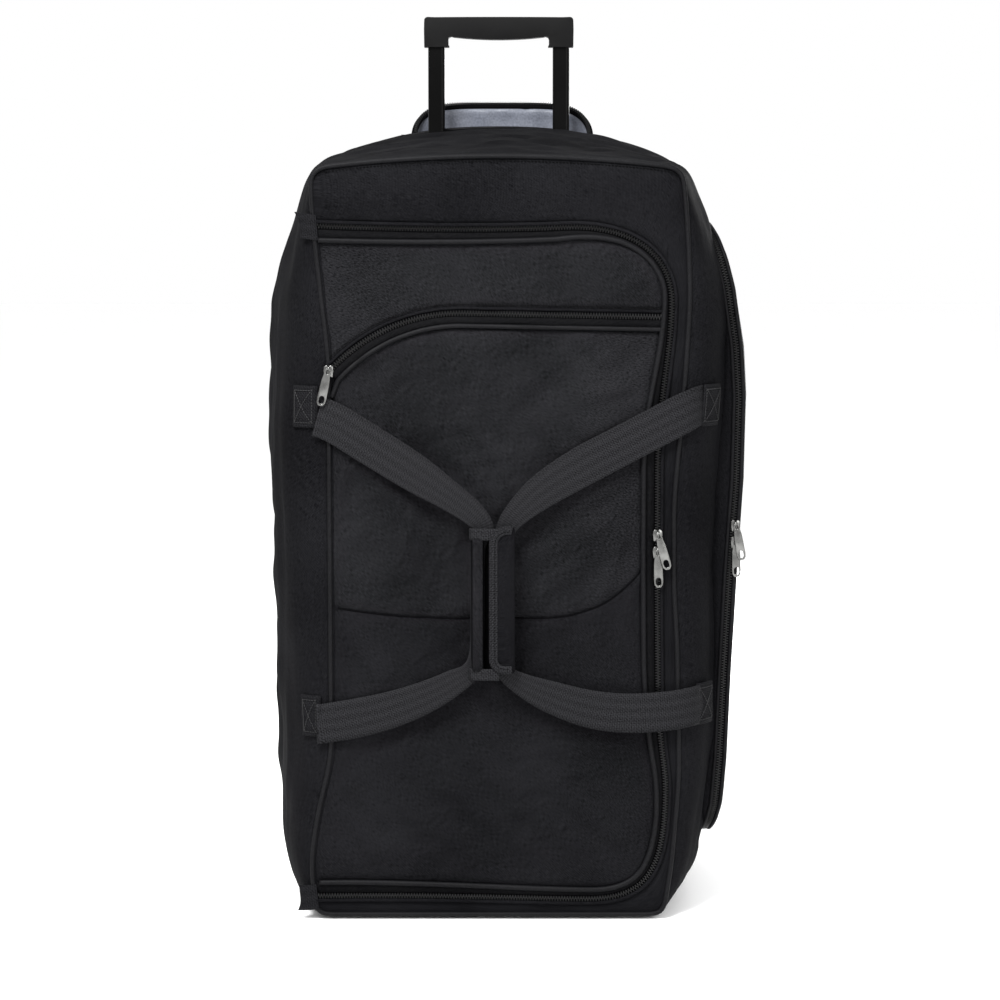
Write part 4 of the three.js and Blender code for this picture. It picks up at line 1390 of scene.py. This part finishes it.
def make_side_pocket(shell):
    """Wall, zip and domed cover of the pocket on the right side."""
    loop = pocket_loop()
    make_pocket_gusset(loop, shell)
    outward = np.insert(loop_normals(loop), 0, 0.0, axis=1)
    face = pocket_face(loop[:, 1])
    line = np.column_stack([face - 3.5, loop])
    band("side_zip_tape", line, outward, -4.5, 4.5, 0.4, "tape", "bag_body", "zip_tape", True,
         ("side_pocket_zip",))
    teeth("side_zip_teeth_inner", line + outward * 1.0, outward, -1, "bag_body", True)
    teeth("side_zip_teeth_outer", line + outward * 1.0, outward, 1, "bag_body", True)
    piping("side_gusset_piping", line - (5.0, 0, 0) + outward * 1.4, outward, 2.3, "bag_body", True)
    make_pocket_cover(loop)
    edge = np.column_stack([face + 1.8, loop])
    piping("pocket_cover_piping", edge, outward, 2.5, "side_pocket_door", True)


# ---- top, hood and trolley ----
HOOD = {"half": 101.0, "low": 786.0, "top": 875.0, "side": 838.0, "inner": 171.0, "outer": 203.0}
# The hood stands a little to the right of the bag's middle.
HOOD_SHIFT = 4.0


def hood_point(u, v, inset=0.0):
    """Hood wall in plan: a shallow bow behind the tubes; v runs from its root to its rim."""
    h = HOOD
    x = lerp(-h["half"] + inset, h["half"] - inset, u)
    a = min(1.0, abs(x) / h["half"])
    y = lerp(h["inner"], h["outer"] - inset, math.sqrt(max(0.0, 1 - a ** 3)))
    rim = lerp(h["side"], h["top"] - 2, math.sqrt(max(0.0, 1 - a ** 5)))
    z = lerp(h["low"], rim, v)
    lean = 3.0 * v * v
    return np.array([x + HOOD_SHIFT, y - lean + wobble((x, 0, z), (60, 1, 40), 9.1) * 1.5 * v, z])


def make_hood():
    """The hood behind the tubes: skin, grey lining, and the half zip along its rim."""
    columns = np.sin(np.linspace(-math.pi / 2, math.pi / 2, 90)) / 2 + 0.5
    outer = [[hood_point(u, v) for u in columns] for v in np.linspace(0, 1, 24)]
    skin = cloth("hood_skin", outer, "shell", "hood", "shell_fabric", 1.6,
                 inward=(0, 100, 830), replaces=("hood_flap",))
    inner = []
    for v in np.linspace(0, 0.93, 24):
        row = []
        for u in columns:
            p = hood_point(u, v, 3.5)
            hem = 1.6 * math.exp(-((v - 0.87) / 0.02) ** 2)
            crease = wobble((p[0], 0, p[2]), (16, 1, 26), 12.5) * 2.2
            row.append(p - (0, 2.5 + hem + crease, 0))
        inner.append(row)
    cloth("hood_lining", inner, "lining", "hood", "lining", 0.7, inward=(0, 400, 830))
    rim = np.array([hood_point(u, 1.0) for u in columns])
    up = (0, -0.55, 1)
    piping("hood_rim_piping", rim + (0, 0.8, -0.6), (0, 0, 1), 2.0, "hood", replaces=("hood_zip",))
    facing = rim + (0, -3.2, -3.0)
    band("hood_facing", facing, (0, -1, 0.25), -3.4, 3.4, 0.6, "tape", "hood", "zip_tape")
    teeth("hood_teeth", rim + (0, -1.6, 1.6), up, 1, "hood")
    side = [np.array([hood_point(u, v) for v in np.linspace(0, 1, 30)]) for u in (0.0, 1.0)]
    for name, line in zip(("left", "right"), side):
        piping(f"hood_side_piping_{name}", line + (0, -1.0, 0), (0, -1, 0), 2.3, "hood")


def grip_outline(foot, top):
    """The grip from the front as (x, z): a bar with a belly under it and a socket at each end."""
    outer, inner, bar_low, belly = 84.8, 57.0, 947.2, 3.6
    corner = [(4 * math.cos(a), 4 * math.sin(a)) for a in np.linspace(0, math.pi / 2, 7)]
    outline = [(outer, foot), (outer + 0.3, foot + 20)]
    outline += [(outer - 4 + c, top - 4 + s) for c, s in corner]
    across = np.linspace(outer - 12, -outer + 12, 15)
    outline += [(x, top + 0.4 * (1 - (x / outer) ** 2) - 0.4) for x in across]
    outline += [(-outer + 4 - s, top - 4 + c) for c, s in corner]
    outline += [(-outer - 0.3, foot + 20), (-outer, foot)]
    half = [(inner - 0.6, foot), (inner - 0.6, foot + 1.8), (inner + 0.3, foot + 2.2),
            (inner + 0.3, bar_low - 3.4), (inner - 0.8, bar_low - 1.0), (inner - 3.2, bar_low)]
    outline += [(-x, z) for x, z in half]
    outline += [(x, bar_low - belly * (1 - (x / inner) ** 2)) for x in np.linspace(-inner + 6, inner - 6, 21)]
    return outline + half[::-1]


def make_grip():
    """Trolley grip: one moulding with a hole in its top for the release button."""
    low, high = design_box("trolley_grip")
    top = high[2]
    points, faces = extruded(grip_outline(low[2], top), [], TUBE_Y - 10.6, TUBE_Y + 10.6)
    bar = piece("grip_bar", points, faces, "grip", "trolley", "grip_plastic", replaces=("trolley_grip",))
    finish_edges(bar, 2.4, 3)
    low, high = design_box("push_button")
    cut(bar, (low[0] - 0.4, low[1] - 0.4, top - 14), (high[0] + 0.4, high[1] + 0.4, top + 8))
    cap = plain_box(low, (high[0], high[1], top - 0.5))
    button = piece("release_button", *cap, "grip", "button", "grip_plastic", replaces=("push_button",))
    finish_edges(button, 1.0)


def plain_box(low, high):
    """Points and faces of a plain box, for a piece whose edges are bevelled afterwards."""
    x, y, z = zip(low, high)
    points = [(x[i], y[j], z[k]) for k in (0, 1) for j in (0, 1) for i in (0, 1)]
    faces = [(0, 2, 3, 1), (4, 5, 7, 6), (0, 1, 5, 4), (2, 6, 7, 3), (0, 4, 6, 2), (1, 3, 7, 5)]
    return np.array(points), faces


def make_interior():
    """Grey lining inside the bag: a sleeve just inside the shell, and a back wall."""
    sleeve = shell_grid(np.linspace(0.012, 0.87, 20), inset=11.0, ripple=0.4)
    cloth("lining_sleeve", sleeve, "lining", "bag_body", "lining", 0.8, True, inward=BAG_MIDDLE,
          replaces=("interior_lining",))
    y = sleeve[-1, 0, 1]
    left, right = loop_edges(sleeve[-1][:, (0, 2)])
    low, high = sleeve[-1][:, 2].min() + 2, sleeve[-1][:, 2].max() - 10
    grid = row_panel(left, right, low, high,
                     lambda x, z: y - 3 + wobble((x, 0, z), (80, 1, 110), 3.1) * 2.5, 70, 60)
    cloth("lining_back", grid, "lining", "bag_body", "lining", 0.8, inward=(0, 400, 400))
    for name in ("left", "right"):
        low, high = design_box(f"wheel_housing_{name}")
        points, faces = plain_box((low[0] - 3, low[1] - 3, 14), (high[0] + 3, y - 1, high[2] + 3))
        bay = piece(f"wheel_bay_lining_{name}", points, faces, "lining", "bag_body", "lining")
        finish_edges(bay, 6.0, 4)


def make_zip_tabs():
    """Folded fabric tabs over the two ends of the main zip, flared a little off the left seam."""
    for name, height, way in (("upper", 733.0, 1), ("lower", 25.0, -1)):
        grid = []
        for v in np.linspace(-1, 1, 12):
            z = height + 13.5 * v
            seam = float(seam_left(z))
            flare = 4.0 * max(0.0, way * v) ** 2
            row = []
            for u in np.linspace(0, 1, 10):
                x = seam + 3.5 - (19 + flare) * u
                y = FRONT_Y - 3.6 + 5.5 * u * u - 1.2 * math.sin(math.pi * u)
                row.append((x, y, z + 2.5 * u * way))
            grid.append(row)
        tab = cloth(f"tab_{name}", grid, "tab_web", "bag_body", "webbing", 1.7, inward=BEHIND_FRONT,
                    replaces=(f"zip_tab_{name}",))
        finish_edges(tab, 0.5)


# ---- CAD pieces that stay ----
KEPT = {
    "plastic": ("trolley_bezel", "trolley_bracket", "wheel_housing_left", "wheel_housing_right", "foot_rail",
                "wheel_hub_left", "wheel_hub_right"),
    "board": ("back_board", "base_board"),
    "rubber": ("tyre_left", "tyre_right"),
    "steel": ("axle_left", "axle_right", "lock_rod_left", "lock_rod_right"),
    "aluminium": ("outer_tube_left", "outer_tube_right"),
    "black_tube": ("inner_tube_left", "inner_tube_right"),
}


def paint_kept_nodes():
    """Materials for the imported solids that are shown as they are."""
    for material, nodes in KEPT.items():
        for name in nodes:
            for entry in frame["nodes"][name].material_slots:
                entry.material = MATERIALS[material]


# ---- studio ----
def place_aimed(name, data, place, target):
    """Puts a lamp or camera in the scene, pointing at a target."""
    obj = bpy.data.objects.new(name, data)
    bpy.context.scene.collection.objects.link(obj)
    obj.location = place
    obj.rotation_euler = (Vector(target) - Vector(place)).to_track_quat("-Z", "Y").to_euler()
    return obj


def area_light(name, place, size, power):
    """A rectangular lamp that points at the middle of the bag."""
    data = bpy.data.lights.new(name, "AREA")
    data.shape = "RECTANGLE"
    data.size, data.size_y = size
    data.energy = power
    place_aimed(name, data, place, (0, 0, 0.45))


def make_studio():
    """White floor and surroundings with three lamps."""
    bpy.ops.mesh.primitive_plane_add(size=40, location=(0, 0, 0))
    floor = bpy.context.active_object
    floor.name = "studio_floor"
    m = Nodes("studio_floor", 0.6, 0.3)
    m.shader.inputs["Base Color"].default_value = (1, 1, 1, 1)
    floor.data.materials.append(m.material)
    studio = bpy.data.worlds.new("studio")
    studio.use_nodes = True
    background = studio.node_tree.nodes["Background"]
    background.inputs["Color"].default_value = (1, 1, 1, 1)
    background.inputs["Strength"].default_value = 1.0
    bpy.context.scene.world = studio
    area_light("key", (-0.8, -1.75, 2.5), (1.0, 1.0), 165)
    area_light("fill", (1.5, -2.9, 1.4), (1.0, 1.4), 45)
    area_light("back", (1.1, 2.9, 0.6), (1.4, 1.0), 60)
    bpy.context.scene.view_settings.view_transform = "Standard"


def make_camera():
    """A long lens straight in front, a little above the middle."""
    data = bpy.data.cameras.new("camera")
    data.sensor_width = 36
    data.lens = 110.2
    eye = world((1.4, FRONT_Y - 3200, 758))
    camera = place_aimed("camera", data, eye, world((1.4, FRONT_Y, 448)))
    bpy.context.scene.camera = camera


make_studio()
make_camera()
shell_surface = make_shell()
make_back()
make_interior()
make_front_band()
make_main_zip()
make_lid()
make_zip_tabs()
make_sliders()
make_handles()
make_grip_wrap()
make_side_pocket(shell_surface)
make_hood()
make_grip()
paint_kept_nodes()

bpy.context.view_layer.update()
